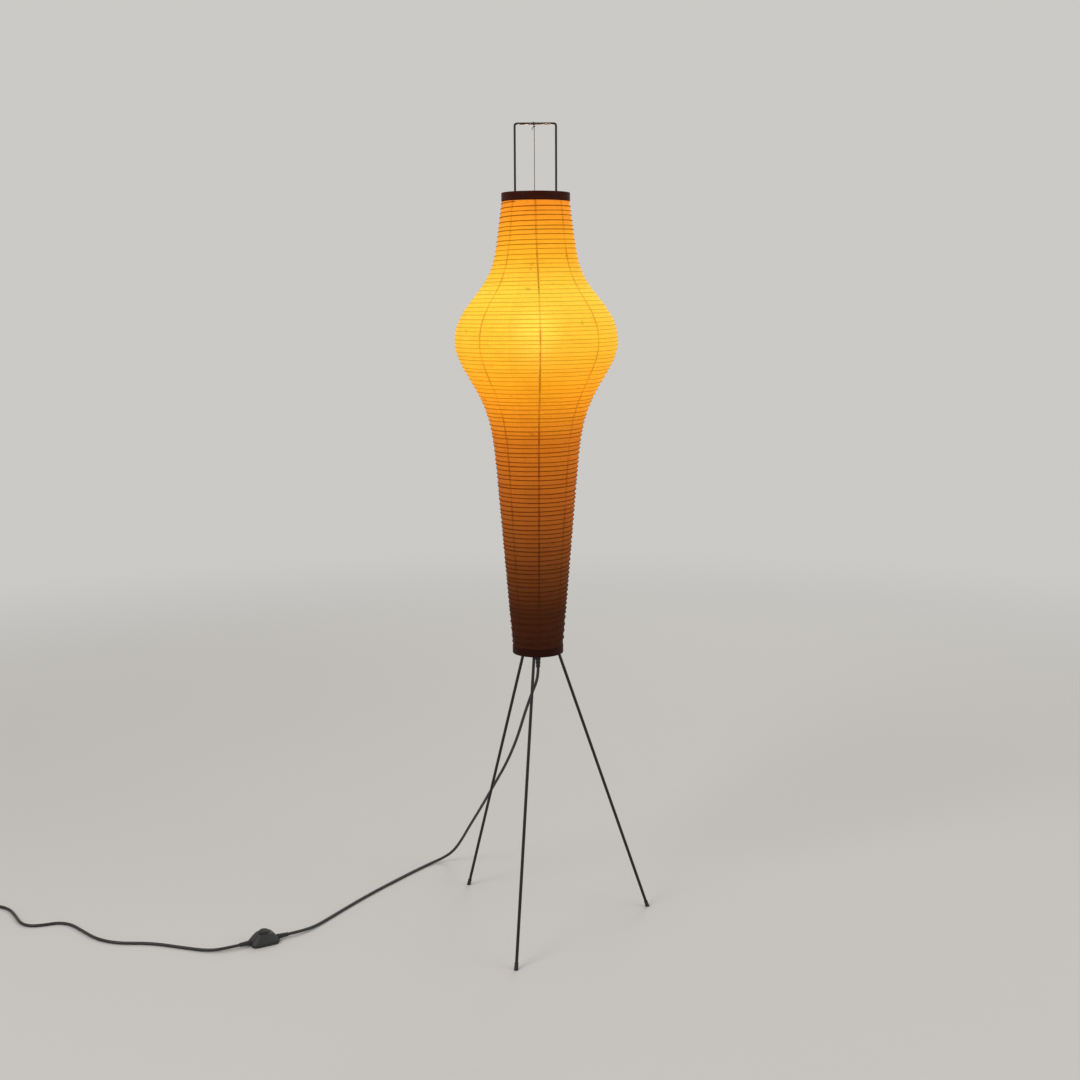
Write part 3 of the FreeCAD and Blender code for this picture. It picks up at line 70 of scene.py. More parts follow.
CAMERA_PLACE = (0.005, -2.783, 1.254)
CAMERA_DOWN = 9.61
CAMERA_ROLL = -0.28
FOCAL_PIXELS = 1448
IMAGE_PIXELS = 1080
SENSOR = 36.0
BACKDROP = (0.60, 0.588, 0.565)
GLOBE_CENTRE = 1.1737
STUDIO_LIGHTS = (
    ("key_light", (-2.6, -2.6, 3.4), (0, 0, 0.7), 2.2, 62, (1.0, 0.97, 0.93)),
    ("fill_light", (3.0, -1.2, 2.2), (0, 0, 0.7), 2.6, 24, (0.93, 0.96, 1.0)),
    ("back_light", (0.8, 3.0, 2.8), (0, 0, 0.8), 1.8, 22, (1.0, 0.98, 0.95)),
)
MOUTH_GLOW = ("mouth_glow", (0, 0, 1.26), (0, 0, 1.6), 0.05, 0.3, (1.0, 0.56, 0.22))
MOUTH_SPREAD = math.radians(50)
BULB_POWER, BULB_COLOUR, BULB_SIZE = 5.0, (1.0, 0.66, 0.28), 0.02
ROOM_COLOUR, ROOM_STRENGTH = (1.0, 0.985, 0.96), 0.42
FLOOR_COLOUR, FLOOR_FADE = (0.76, 0.745, 0.72), (1.4, 4.5)
FLOOR_RINGS, FLOOR_SPOKES = (0.0, 1.5, 3.0, 6.0, 9.0), 64


def make_camera():
    """The camera that was fitted to the photo: its place, its tilt down and its roll."""
    data = bpy.data.cameras.new("photo_camera")
    data.sensor_width = SENSOR
    data.lens = FOCAL_PIXELS * SENSOR / IMAGE_PIXELS
    camera = bpy.data.objects.new("photo_camera", data)
    scene.collection.objects.link(camera)
    tilt = Matrix.Rotation(math.radians(90 - CAMERA_DOWN), 4, "X")
    roll = Matrix.Rotation(math.radians(CAMERA_ROLL), 4, "Z")
    camera.matrix_world = Matrix.Translation(CAMERA_PLACE) @ tilt @ roll
    scene.camera = camera


def area_light(name, place, aim, size, power, colour):
    """A round soft light at a place, turned towards a point."""
    data = bpy.data.lights.new(name, "AREA")
    data.shape = "DISK"
    data.size = size
    data.energy = power
    data.color = colour
    light = bpy.data.objects.new(name, data)
    light.location = place
    light.rotation_euler = (Vector(aim) - Vector(place)).to_track_quat("-Z", "Y").to_euler()
    scene.collection.objects.link(light)
    return light


def make_lights():
    """Three studio lights, the bulb's own light, and a weak one over it for what shines up through the mouth."""
    for settings in STUDIO_LIGHTS:
        area_light(*settings)
    mouth = area_light(*MOUTH_GLOW)
    mouth.data.spread = MOUTH_SPREAD
    mouth.visible_camera = False
    data = bpy.data.lights.new("bulb_light", "POINT")
    data.energy = BULB_POWER
    data.color = BULB_COLOUR
    data.shadow_soft_size = BULB_SIZE
    light = bpy.data.objects.new("bulb_light", data)
    light.location = (0, 0, GLOBE_CENTRE)
    light.visible_transmission = False
    light.visible_glossy = False
    scene.collection.objects.link(light)


def make_world():
    """The room: the backdrop's colour where it is seen, mirrored or looked through, and an even soft light for all
    other rays."""
    world = bpy.data.worlds.new("studio")
    world.use_nodes = True
    scene.world = world
    tree = world.node_tree
    background = tree.nodes["Background"]
    background.inputs["Color"].default_value = (*BACKDROP, 1)
    background.inputs["Strength"].default_value = 1.0
    soft = tree.nodes.new("ShaderNodeBackground")
    soft.inputs["Color"].default_value = (*ROOM_COLOUR, 1)
    soft.inputs["Strength"].default_value = ROOM_STRENGTH
    path = tree.nodes.new("ShaderNodeLightPath")
    seen = path.outputs["Is Camera Ray"]
    for ray in ("Is Glossy Ray", "Is Transmission Ray"):
        either = tree.nodes.new("ShaderNodeMath")
        either.operation = "MAXIMUM"
        tree.links.new(seen, either.inputs[0])
        tree.links.new(path.outputs[ray], either.inputs[1])
        seen = either.outputs[0]
    mix = tree.nodes.new("ShaderNodeMixShader")
    tree.links.new(seen, mix.inputs["Fac"])
    tree.links.new(soft.outputs[0], mix.inputs[1])
    tree.links.new(background.outputs[0], mix.inputs[2])
    tree.links.new(mix.outputs[0], tree.nodes["World Output"].inputs["Surface"])


def net_faces(rows, columns, close_rows=False):
    """Quads of a net of points numbered row by row. Each row is a closed ring, and close_rows joins the last row to
    the first one too. A quad takes a point, the next one in its row, and the same two in the next row."""
    net = np.arange(rows * columns).reshape(rows, columns)
    if close_rows:
        net = np.concatenate([net, net[:1]])
    ahead = np.roll(net, -1, axis=1)
    return np.stack([net[:-1], ahead[:-1], ahead[1:], net[1:]], axis=-1).reshape(-1, 4).tolist()


def make_floor():
    """A wide round floor, rings of points about the origin, that fades into the backdrop before its edge."""
    turn = TAU * np.arange(FLOOR_SPOKES) / FLOOR_SPOKES
    radius = np.array(FLOOR_RINGS)[:, None]
    points = np.stack([radius * np.cos(turn), radius * np.sin(turn), np.zeros((len(radius), len(turn)))], axis=-1)
    mesh = bpy.data.meshes.new("studio_floor")
    mesh.from_pydata(points.reshape(-1, 3).tolist(), [], net_faces(len(radius), FLOOR_SPOKES))
    floor = bpy.data.objects.new("studio_floor", mesh)
    scene.collection.objects.link(floor)
    material = bpy.data.materials.new("studio_floor")
    material.use_nodes = True
    tree = material.node_tree
    shader = tree.nodes["Principled BSDF"]
    shader.inputs["Base Color"].default_value = (*FLOOR_COLOUR, 1)
    shader.inputs["Roughness"].default_value = 0.75
    shader.inputs["Specular IOR Level"].default_value = 0.15
    backdrop = tree.nodes.new("ShaderNodeEmission")
    backdrop.inputs["Color"].default_value = (*BACKDROP, 1)
    coords = tree.nodes.new("ShaderNodeTexCoord")
    length = tree.nodes.new("ShaderNodeVectorMath")
    length.operation = "LENGTH"
    fade = tree.nodes.new("ShaderNodeMapRange")
    fade.interpolation_type = "SMOOTHSTEP"
    fade.inputs["From Min"].default_value, fade.inputs["From Max"].default_value = FLOOR_FADE
    mix = tree.nodes.new("ShaderNodeMixShader")
    tree.links.new(coords.outputs["Object"], length.inputs[0])
    tree.links.new(length.outputs["Value"], fade.inputs["Value"])
    tree.links.new(fade.outputs["Result"], mix.inputs["Fac"])
    tree.links.new(shader.outputs[0], mix.inputs[1])
    tree.links.new(backdrop.outputs[0], mix.inputs[2])
    tree.links.new(mix.outputs[0], tree.nodes["Material Output"].inputs["Surface"])
    mesh.materials.append(material)


scene.view_settings.view_transform = "Standard"
scene.view_settings.look = "None"
make_camera()
make_lights()
make_world()
make_floor()

# ---- materials ----


class Recipe:
    """A material's nodes, made by name; a value that is a socket is linked, any other is set on the input."""

    def __init__(self, name, group=False):
        """Starts a material, or a node group for materials to share."""
        if group:
            self.owner = bpy.data.node_groups.new(name, "ShaderNodeTree")
            self.tree = self.owner
        else:
            self.owner = bpy.data.materials.new(name)
            self.owner.use_nodes = True
            self.tree = self.owner.node_tree

    def add(self, kind, settings=None, **inputs):
        """A node. Its inputs are given by label, with _ for a space, or by place as i0, i1 and so on."""
        node = self.tree.nodes.new("ShaderNode" + kind)
        for key, value in (settings or {}).items():
            setattr(node, key, value)
        for key, value in inputs.items():
            by_place = key[0] == "i" and key[1:].isdigit()
            self.feed(node.inputs[int(key[1:]) if by_place else key.replace("_", " ")], value)
        return node

    def feed(self, socket, value):
        """Links a socket to an input, or sets a number or a colour on it."""
        if isinstance(value, bpy.types.NodeSocket):
            self.tree.links.new(value, socket)
        elif socket.type == "RGBA":
            socket.default_value = (*value, 1) if len(value) == 3 else value
        else:
            socket.default_value = value

    def math(self, operation, *values):
        """The result of one Math node."""
        return self.add("Math", {"operation": operation}, **{f"i{k}": v for k, v in enumerate(values)}).outputs[0]

    def object_place(self):
        """Object coordinates, which stay with the piece."""
        return self.add("TexCoord").outputs["Object"]

    def level(self, place):
        """The height of a place."""
        return self.add("SeparateXYZ", None, Vector=place).outputs["Z"]

    def noise(self, place, scale, detail=3.0, rough=0.55, stretch=None):
        """Soft noise from 0 to 1; stretch scales it along each axis."""
        if stretch:
            place = self.add("Mapping", None, Vector=place, Scale=stretch).outputs[0]
        return self.add("TexNoise", None, Vector=place, Scale=scale, Detail=detail, Roughness=rough).outputs["Fac"]

    def between(self, value, low, high, to_low=0.0, to_high=1.0):
        """Takes low to to_low and high to to_high, with a smooth step between and no change outside."""
        node = self.add("MapRange", {"interpolation_type": "SMOOTHSTEP"}, Value=value)
        for socket, number in zip(node.inputs[1:5], (low, high, to_low, to_high)):
            socket.default_value = number
        return node.outputs["Result"]

    def blend(self, share, first, second, way="MIX"):
        """The first colour with a share of the second laid over it, or multiplied into it."""
        node = self.add("Mix", {"data_type": "RGBA", "blend_type": way})
        for place, value in zip((0, 6, 7), (share, first, second)):
            self.feed(node.inputs[place], value)
        return node.outputs[2]

    def ramp(self, value, stops):
        """A colour from stops of (place, colour)."""
        node = self.add("ValToRGB", None, Fac=value)
        elements = node.color_ramp.elements
        while len(elements) < len(stops):
            elements.new(0.5)
        for element, (place, colour) in zip(elements, stops):
            element.position = place
            element.color = (*colour, 1)
        return node.outputs["Color"]

    def bump(self, height, strength, distance):
        """A normal that stands for fine relief."""
        return self.add("Bump", None, Strength=strength, Distance=distance, Height=height).outputs[0]

    def surface(self, **inputs):
        """Feeds the Principled BSDF and gives the finished material."""
        shader = self.tree.nodes["Principled BSDF"]
        for key, value in inputs.items():
            self.feed(shader.inputs[key.replace("_", " ")], value)
        return self.owner


def mottle_group():
    """Shared surface variation: Cloud for slow patches, Grain for fine grain, Marks for sparse scuffs."""
    recipe = Recipe("mottle", group=True)
    face = recipe.tree.interface
    face.new_socket("Size", in_out="INPUT", socket_type="NodeSocketFloat").default_value = 1.0
    for name in ("Cloud", "Grain", "Marks"):
        face.new_socket(name, in_out="OUTPUT", socket_type="NodeSocketFloat")
    entry = recipe.tree.nodes.new("NodeGroupInput")
    leave = recipe.tree.nodes.new("NodeGroupOutput")
    scaled = recipe.add("VectorMath", {"operation": "SCALE"}, i0=recipe.object_place(), Scale=entry.outputs["Size"])
    place = scaled.outputs[0]
    recipe.tree.links.new(recipe.noise(place, 22, 4), leave.inputs["Cloud"])
    recipe.tree.links.new(recipe.noise(place, 900, 2, 0.7), leave.inputs["Grain"])
    scuffs = recipe.noise(place, 160, 6, 0.72, (1.0, 0.35, 0.6))
    recipe.tree.links.new(recipe.between(scuffs, 0.60, 0.72), leave.inputs["Marks"])
    return recipe.owner


MOTTLE = mottle_group()


def mottled(recipe, size=1.0):
    """The shared variation's three outputs, placed in a material at its own size."""
    node = recipe.add("Group", {"node_tree": MOTTLE}, Size=size)
    return node.outputs["Cloud"], node.outputs["Grain"], node.outputs["Marks"]


def plain_finish(name, dark, light, rough, rough_more, grain=0.1, marks=(0.4, 0.4, 0.4), size=1.0, **extra):
    """A solid finish: patches between two colours, scuffs, fine grain in the bump and a varied roughness."""
    recipe = Recipe(name)
    cloud, fine, scuffs = mottled(recipe, size)
    colour = recipe.blend(cloud, dark, light)
    share = recipe.math("MULTIPLY", scuffs, 0.35)
    colour = recipe.blend(share, colour, marks)
    roughness = recipe.between(cloud, 0.25, 0.75, rough, rough_more)
    relief = recipe.bump(fine, grain, 0.0004)
    return recipe.surface(Base_Color=colour, Roughness=roughness, Normal=relief, **extra)


def brushed_finish(name, colour, rough):
    """A drawn or turned metal: fine streaks along one axis."""
    recipe = Recipe(name)
    place = recipe.object_place()
    streak = recipe.noise(place, 400, 3, 0.6, (1.0, 1.0, 0.04))
    cloud = mottled(recipe)[0]
    darker = tuple(0.72 * c for c in colour)
    shade = recipe.blend(streak, darker, colour)
    roughness = recipe.between(cloud, 0.3, 0.7, rough, rough + 0.16)
    relief = recipe.bump(streak, 0.15, 0.0003)
    return recipe.surface(Base_Color=shade, Metallic=1.0, Roughness=roughness, Normal=relief)


def lacquer_finish():
    """Thin bent wood under dark red-brown lacquer: grain runs round the hoop, scuffs are lighter, and painted shade
    makes the hoop that is low down darker."""
    recipe = Recipe("lacquered_hoop")
    place = recipe.object_place()
    grain = recipe.noise(place, 60, 5, 0.65, (0.35, 0.35, 9.0))
    pores = recipe.noise(place, 260, 2, 0.6, (0.25, 0.25, 6.0))
    cloud, _, scuffs = mottled(recipe, 1.4)
    colour = recipe.ramp(grain, ((0.25, (0.018, 0.003, 0.0015)), (0.5, (0.040, 0.006, 0.002)),
                                 (0.8, (0.070, 0.013, 0.005))))
    colour = recipe.blend(recipe.math("MULTIPLY", scuffs, 0.3), colour, (0.12, 0.040, 0.016))
    # Painted shade: below 1.2 m the lacquer is blended towards near black, 0.55 of the way at 0.8 m and lower, so the
    # lower hoop looks shaded.
    painted_shade_low = recipe.between(recipe.level(place), 0.8, 1.2, 0.55, 0.0)
    colour = recipe.blend(painted_shade_low, colour, (0.008, 0.002, 0.001))
    relief = recipe.bump(pores, 0.25, 0.0004)
    roughness = recipe.between(cloud, 0.3, 0.7, 0.44, 0.6)
    return recipe.surface(Base_Color=colour, Roughness=roughness, Normal=relief, Specular_IOR_Level=0.07)


PAPER_FOOT, PAPER_TOP = 0.57455, 1.42605
SEAM_TURN = math.radians(-87.2)
GORES = 8
GLOW = (
    (0.00, (0.004, 0.0008, 0.0003)), (0.08, (0.016, 0.0036, 0.0008)), (0.19, (0.094, 0.022, 0.0026)),
    (0.37, (0.32, 0.072, 0.0032)), (0.48, (0.45, 0.115, 0.003)), (0.60, (0.78, 0.31, 0.007)),
    (0.70, (0.80, 0.46, 0.026)), (0.80, (0.80, 0.56, 0.044)), (0.88, (0.79, 0.38, 0.013)),
    (1.00, (0.70, 0.20, 0.005)),
)
# The paper's base colour over height: painted shade, darkest at the foot and lightest near the top.
PAPER_WITH_PAINTED_SHADE = (
    (0.0, (0.050, 0.013, 0.004)), (0.10, (0.062, 0.017, 0.004)), (0.28, (0.15, 0.050, 0.010)),
    (0.5, (0.24, 0.095, 0.012)), (1.0, (0.27, 0.11, 0.013)),
)


def share_of_height(recipe, z):
    """Height on the lantern, from 0 at the paper's foot to 1 at its top."""
    return recipe.math("DIVIDE", recipe.math("SUBTRACT", z, PAPER_FOOT), PAPER_TOP - PAPER_FOOT)


def paper_finish():
    """Lit mulberry paper. Its glow's colour is a ramp over height. The glow's strength is clouds, fibres and strips
    added up, times the gore's own shade, less what the seams between the gores and the flecks take away. Its base
    colour is a ramp over height with painted shade, darkest at the foot."""
    recipe = Recipe("mulberry_paper")
    place = recipe.object_place()
    split = recipe.add("SeparateXYZ", None, Vector=place)
    x, y, z = split.outputs
    height = share_of_height(recipe, z)
    glow = recipe.ramp(height, GLOW)
    bearing = recipe.math("ARCTAN2", y, x)
    radius = recipe.math("SQRT", recipe.math("ADD", recipe.math("MULTIPLY", x, x), recipe.math("MULTIPLY", y, y)))
    gore = recipe.math("MULTIPLY", recipe.math("SUBTRACT", bearing, SEAM_TURN), GORES / TAU)
    front = recipe.between(recipe.math("ABSOLUTE", gore), 0.3, 1.0, 1.0, 0.0)
    gore = recipe.math("ADD", gore, recipe.math("MULTIPLY", recipe.between(height, 0.80, 1.0, 0.0, 0.07), front))
    waver = recipe.noise(place, 30, 2)
    gore = recipe.math("ADD", gore, recipe.math("MULTIPLY", recipe.math("SUBTRACT", waver, 0.5), 0.018))
    off_seam = recipe.math("PINGPONG", gore, 0.5)
    across = recipe.math("MULTIPLY", off_seam, recipe.math("MULTIPLY", radius, TAU / GORES))
    at_front = recipe.between(recipe.math("ABSOLUTE", gore), 0.3, 0.5, 1.0, 0.0)
    folded = recipe.math("MULTIPLY", recipe.between(across, 0.0007, 0.0017, 1.0, 0.0), at_front)
    folded = recipe.math("MULTIPLY", folded, recipe.between(height, 0.80, 0.92, 1.0, 0.6))
    lapped = recipe.between(across, 0.0008, 0.0030, 0.55, 0.0)
    come_and_go = recipe.between(recipe.noise(place, 26, 3), 0.36, 0.60, 0.40, 1.1)
    seam = recipe.math("MULTIPLY", recipe.math("MAXIMUM", folded, lapped), come_and_go)
    glow = recipe.blend(seam, glow, (0.66, 0.46, 0.25), "MULTIPLY")
    gore_number = recipe.math("FLOOR", recipe.math("ADD", gore, 20.5))
    sheet = recipe.add("TexWhiteNoise", {"noise_dimensions": "1D"}, W=gore_number)
    fibre = recipe.noise(place, 240, 3, 0.7, (1.0, 1.0, 0.22))
    cross_fibre = recipe.noise(place, 210, 3, 0.7, (0.25, 0.25, 1.0))
    fibres = recipe.math("MAXIMUM", fibre, cross_fibre)
    cloud = recipe.noise(place, 34, 4)
    fleck = recipe.between(recipe.noise(place, 75, 1, 0.4, (0.6, 0.6, 1.0)), 0.72, 0.77)
    strip = recipe.noise(place, 1.0, 2, 0.6, (6.0, 6.0, 95.0))
    light = recipe.math("ADD", recipe.math("MULTIPLY", cloud, 0.20), recipe.between(fibres, 0.42, 0.75, 0.92, 0.74))
    light = recipe.math("ADD", light, recipe.math("MULTIPLY", strip, 0.14))
    light = recipe.math("MULTIPLY", light, recipe.between(sheet.outputs["Value"], 0.0, 1.0, 0.95, 1.03))
    light = recipe.math("MULTIPLY", light, recipe.math("SUBTRACT", 1.0, recipe.math("MULTIPLY", seam, 0.3)))
    light = recipe.math("MULTIPLY", light, recipe.math("SUBTRACT", 1.0, recipe.math("MULTIPLY", fleck, 0.32)))
    # Painted shade: the base colour runs from dark at the paper's foot to lighter near its top; the seams then darken
    # it further.
    base = recipe.ramp(height, PAPER_WITH_PAINTED_SHADE)
    base = recipe.blend(recipe.math("MULTIPLY", seam, 0.8), base, (0.055, 0.016, 0.003))
    relief = recipe.bump(fibres, 0.35, 0.0005)
    return recipe.surface(Base_Color=base, Roughness=0.7, Specular_IOR_Level=0.07, IOR=1.35, Transmission_Weight=0.2,
                          Normal=relief, Emission_Color=glow, Emission_Strength=light)


def rib_finish():
    """Split bamboo: dark and streaked, with a share of the paper's glow that is least at the foot and falls again in
    the neck."""
    recipe = Recipe("bamboo_rib")
    place = recipe.object_place()
    streak = recipe.noise(place, 90, 4, 0.6, (1.0, 1.0, 6.0))
    colour = recipe.ramp(streak, ((0.3, (0.040, 0.008, 0.002)), (0.7, (0.10, 0.022, 0.004))))
    height = share_of_height(recipe, recipe.level(place))
    from_foot = recipe.between(height, 0.36, 0.62, 0.22, 0.80)
    to_neck = recipe.between(height, 0.82, 0.97, 1.0, 0.42)
    shine = recipe.math("MULTIPLY", from_foot, to_neck)
    relief = recipe.bump(streak, 0.3, 0.0003)
    return recipe.surface(Base_Color=colour, Roughness=0.7, Specular_IOR_Level=0.05, Normal=relief,
                          Emission_Color=recipe.ramp(height, GLOW), Emission_Strength=shine)


def twist_finish(name, dark, light, turns_per_metre):
    """Twisted linen: oblique bands that follow the strands."""
    recipe = Recipe(name)
    place = recipe.object_place()
    twist = recipe.add("TexWave", {"bands_direction": "DIAGONAL"}, Vector=place, Scale=turns_per_metre, Distortion=1.5,
                       Detail=2.0).outputs["Fac"]
    fuzz = recipe.noise(place, 1500, 3, 0.8)
    colour = recipe.blend(twist, dark, light)
    return recipe.surface(Base_Color=colour, Roughness=0.9, Sheen_Weight=0.3, Normal=recipe.bump(fuzz, 0.5, 0.0003))


def glass_finish():
    """Opal glass with the lamp on: it glows nearly six times as strongly at the globe's crown as in the neck."""
    recipe = Recipe("opal_glass")
    place = recipe.object_place()
    glow = recipe.between(recipe.level(place), 1.13, 1.19, 1.2, 7.0)
    cloud = recipe.noise(place, 60, 2)
    return recipe.surface(Base_Color=(0.92, 0.88, 0.80), Roughness=recipe.between(cloud, 0.3, 0.7, 0.25, 0.4),
                          Emission_Color=(1.0, 0.76, 0.46), Emission_Strength=glow, Coat_Weight=0.4)


MATERIALS = {
    "black_steel": plain_finish("black_steel", (0.007, 0.006, 0.006), (0.015, 0.013, 0.012), 0.36, 0.5, 0.18,
                                (0.04, 0.036, 0.032), 1.0, Specular_IOR_Level=0.34),
    "black_rubber": plain_finish("black_rubber", (0.012, 0.012, 0.012), (0.026, 0.025, 0.024), 0.6, 0.8, 0.3,
                                 (0.09, 0.085, 0.08), 1.3),
    "black_lead": plain_finish("black_lead", (0.011, 0.011, 0.011), (0.024, 0.023, 0.022), 0.36, 0.52, 0.12,
                               (0.07, 0.065, 0.06), 0.9),
    "lacquered_hoop": lacquer_finish(),
    "mulberry_paper": paper_finish(),
    "bamboo": rib_finish(),
    "linen_string": twist_finish("linen_string", (0.030, 0.012, 0.004), (0.095, 0.042, 0.016), 260),
    "black_moulding": plain_finish("black_moulding", (0.011, 0.011, 0.012), (0.024, 0.024, 0.025), 0.38, 0.55, 0.35,
                                   (0.07, 0.07, 0.07), 1.6),
    "tie_band": twist_finish("tie_band", (0.012, 0.012, 0.013), (0.05, 0.05, 0.052), 420),
    "porcelain": plain_finish("porcelain", (0.72, 0.70, 0.65), (0.84, 0.82, 0.78), 0.16, 0.3, 0.05, (0.5, 0.46, 0.4),
                              1.0, Coat_Weight=0.6),
    "contact_brass": brushed_finish("contact_brass", (0.70, 0.50, 0.22), 0.28),
    "solder": plain_finish("solder", (0.45, 0.45, 0.46), (0.6, 0.6, 0.61), 0.3, 0.5, 0.3, (0.3, 0.3, 0.3), 2.0,
                           Metallic=1.0),
    "opal_glass": glass_finish(),
    "contact_block": plain_finish("contact_block", (0.10, 0.035, 0.015), (0.16, 0.06, 0.03), 0.4, 0.6, 0.2,
                                  (0.2, 0.12, 0.08), 1.5),
    "screw_steel": brushed_finish("screw_steel", (0.42, 0.42, 0.44), 0.32),
}

# ---- meshes ----


def finish_piece(piece, slot, body, nodes=()):
    """Gives a piece its material and slot, hides the CAD nodes it stands for and sets it on the body it rides on."""
    piece.data.materials.clear()
    piece.data.materials.append(MATERIALS[slot])
    if nodes:
        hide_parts(*nodes)
    if body:
        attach(piece, body)
    return piece


def mesh_piece(name, points, faces, slot, body, nodes=(), sharp_degrees=38):
    """A piece from points and faces, smooth but for edges sharper than an angle."""
    mesh = bpy.data.meshes.new(name)
    mesh.from_pydata(np.asarray(points, float).reshape(-1, 3).tolist(), [], faces)
    mesh.validate()
    mesh.shade_smooth()
    if sharp_degrees:
        mesh.set_sharp_from_angle(angle=math.radians(sharp_degrees))
    piece = bpy.data.objects.new(name, mesh)
    scene.collection.objects.link(piece)
    return finish_piece(piece, slot, body, nodes)


def joined(*nets):
    """Several (points, faces) as one."""
    points, faces, count = [], [], 0
    for net_points, net in nets:
        net_points = np.asarray(net_points, float).reshape(-1, 3)
        faces += [tuple(index + count for index in face) for face in net]
        points.append(net_points)
        count += len(net_points)
    return np.concatenate(points), faces


def moved(net, matrix):
    """A net turned and moved by a matrix."""
    points, faces = net
    points = np.asarray(points, float).reshape(-1, 3)
    turned = points @ np.array(matrix.to_3x3()).T + np.array(matrix.translation)
    return turned, faces


def soften(profile, rounding, steps=3):
    """A closed profile with each corner replaced by a curve of this reach: the weighted mean of the curve's start, the
    corner and its end, with weights (1 - t) squared, 2t(1 - t) and t squared."""
    profile = [np.array(p, float) for p in profile]
    t = np.linspace(0, 1, steps + 1)[:, None]
    curves = []
    for index, corner in enumerate(profile):
        to_before, to_after = profile[index - 1] - corner, profile[(index + 1) % len(profile)] - corner
        near, far = np.linalg.norm(to_before), np.linalg.norm(to_after)
        reach = min(rounding, near * 0.45, far * 0.45)
        start, end = corner + to_before / near * reach, corner + to_after / far * reach
        curves.append((1 - t) ** 2 * start + 2 * t * (1 - t) * corner + t ** 2 * end)
    return np.concatenate(curves)


def lathe(profile, sides, closed=True):
    """A profile of (radius, height) turned about Z: each point times the cosine and the sine of each angle. An open
    one ends on the axis or in a rim."""
    profile = np.array(profile, float)
    angles = TAU * np.arange(sides) / sides
    points = np.stack([profile[:, :1] * np.cos(angles), profile[:, :1] * np.sin(angles),
                       np.repeat(profile[:, 1:], sides, axis=1)], axis=-1)
    return points, net_faces(len(profile), sides, close_rows=closed)


def frames_along(path, closed=False):
    """Directions along a path and one steady side direction at each of its points: the one before it, less its part
    along the path."""
    path = np.asarray(path, float)
    way = np.gradient(path, axis=0)
    if closed:
        way = np.roll(path, -1, 0) - np.roll(path, 1, 0)
    way /= np.linalg.norm(way, axis=1)[:, None]
    side = np.zeros_like(way)
    start = np.cross(way[0], (0, 0, 1) if abs(way[0][2]) < 0.9 else (1, 0, 0))
    side[0] = start / np.linalg.norm(start)
    for k in range(1, len(path)):
        kept = side[k - 1] - way[k] * side[k - 1].dot(way[k])
        side[k] = kept / np.linalg.norm(kept)
    return way, side


def tube(path, radius, sides, closed=False):
    """A round tube along points: each one plus the radius times the cosine of the angle to the side and its sine to
    the other side. Open ends are slightly domed."""
    path = np.asarray(path, float)
    radius = np.full(len(path), float(radius))
    if not closed:
        way = path[1] - path[0], path[-1] - path[-2]
        way = [w / np.linalg.norm(w) for w in way]
        bulge = 0.35
        path = np.concatenate([[path[0], path[0] + way[0] * radius[0] * bulge], path[1:-1],
                               [path[-1] - way[1] * radius[-1] * bulge, path[-1]]])
        radius = np.concatenate([[radius[0] * 0.72, radius[0]], radius[1:-1], [radius[-1], radius[-1] * 0.72]])
    way, side = frames_along(path, closed)
    other = np.cross(way, side)
    angles = TAU * np.arange(sides) / sides
    points = (path[:, None] + radius[:, None, None] * (side[:, None] * np.cos(angles)[None, :, None]
                                                       + other[:, None] * np.sin(angles)[None, :, None]))
    faces = net_faces(len(path), sides, close_rows=closed)
    if not closed:
        faces.append(tuple(reversed(range(sides))))
        last = (len(path) - 1) * sides
        faces.append(tuple(range(last, last + sides)))
    return points, faces


def arc_path(points, bend, steps=8):
    """Straight runs with corners rounded to a bend radius, as points: each corner is an arc about a centre on the
    line that halves its angle."""
    points = [np.array(p, float) for p in points]
    runs = [points[:1]]
    for before, corner, after in zip(points, points[1:], points[2:]):
        into = (corner - before) / np.linalg.norm(corner - before)
        away = (after - corner) / np.linalg.norm(after - corner)
        half = math.acos(max(-1.0, min(1.0, into.dot(away)))) / 2
        inward = away - into
        inward /= np.linalg.norm(inward)
        centre = corner + inward * bend / math.cos(half)
        start = corner - into * bend * math.tan(half)
        angle = np.linspace(0, 2 * half, steps + 1)[:, None]
        runs.append(centre + (start - centre) * np.cos(angle) + into * bend * np.sin(angle))
    return np.concatenate([*runs, points[-1:]])


def plate_loop(length, width, corner, height, count=64):
    """Points of a rectangle with round corners, centred, at a height: the middle of the corner that an angle points
    to, plus the corner's radius that way."""
    angles = TAU * (np.arange(count) + 0.5) / count
    turn = np.stack([np.cos(angles), np.sin(angles)], axis=1)
    flat = np.copysign(np.array((length, width)) / 2 - corner, turn) + corner * turn
    return np.column_stack([flat, np.full(count, float(height))])


def stacked(loops, cap_high=True):
    """Loops of equal count joined one to the next, with a flat cap on the first one, and on the last if asked."""
    count = len(loops[0])
    faces = net_faces(len(loops), count)
    faces.append(tuple(reversed(range(count))))
    if cap_high:
        faces.append(tuple(range((len(loops) - 1) * count, len(loops) * count)))
    return np.concatenate(loops), faces


def mm(points):
    """Points given in millimetres, in metres."""
    return [tuple(value / 1000 for value in point) for point in points]


# ---- mains lead: first its route, so that the pieces on it can follow ----

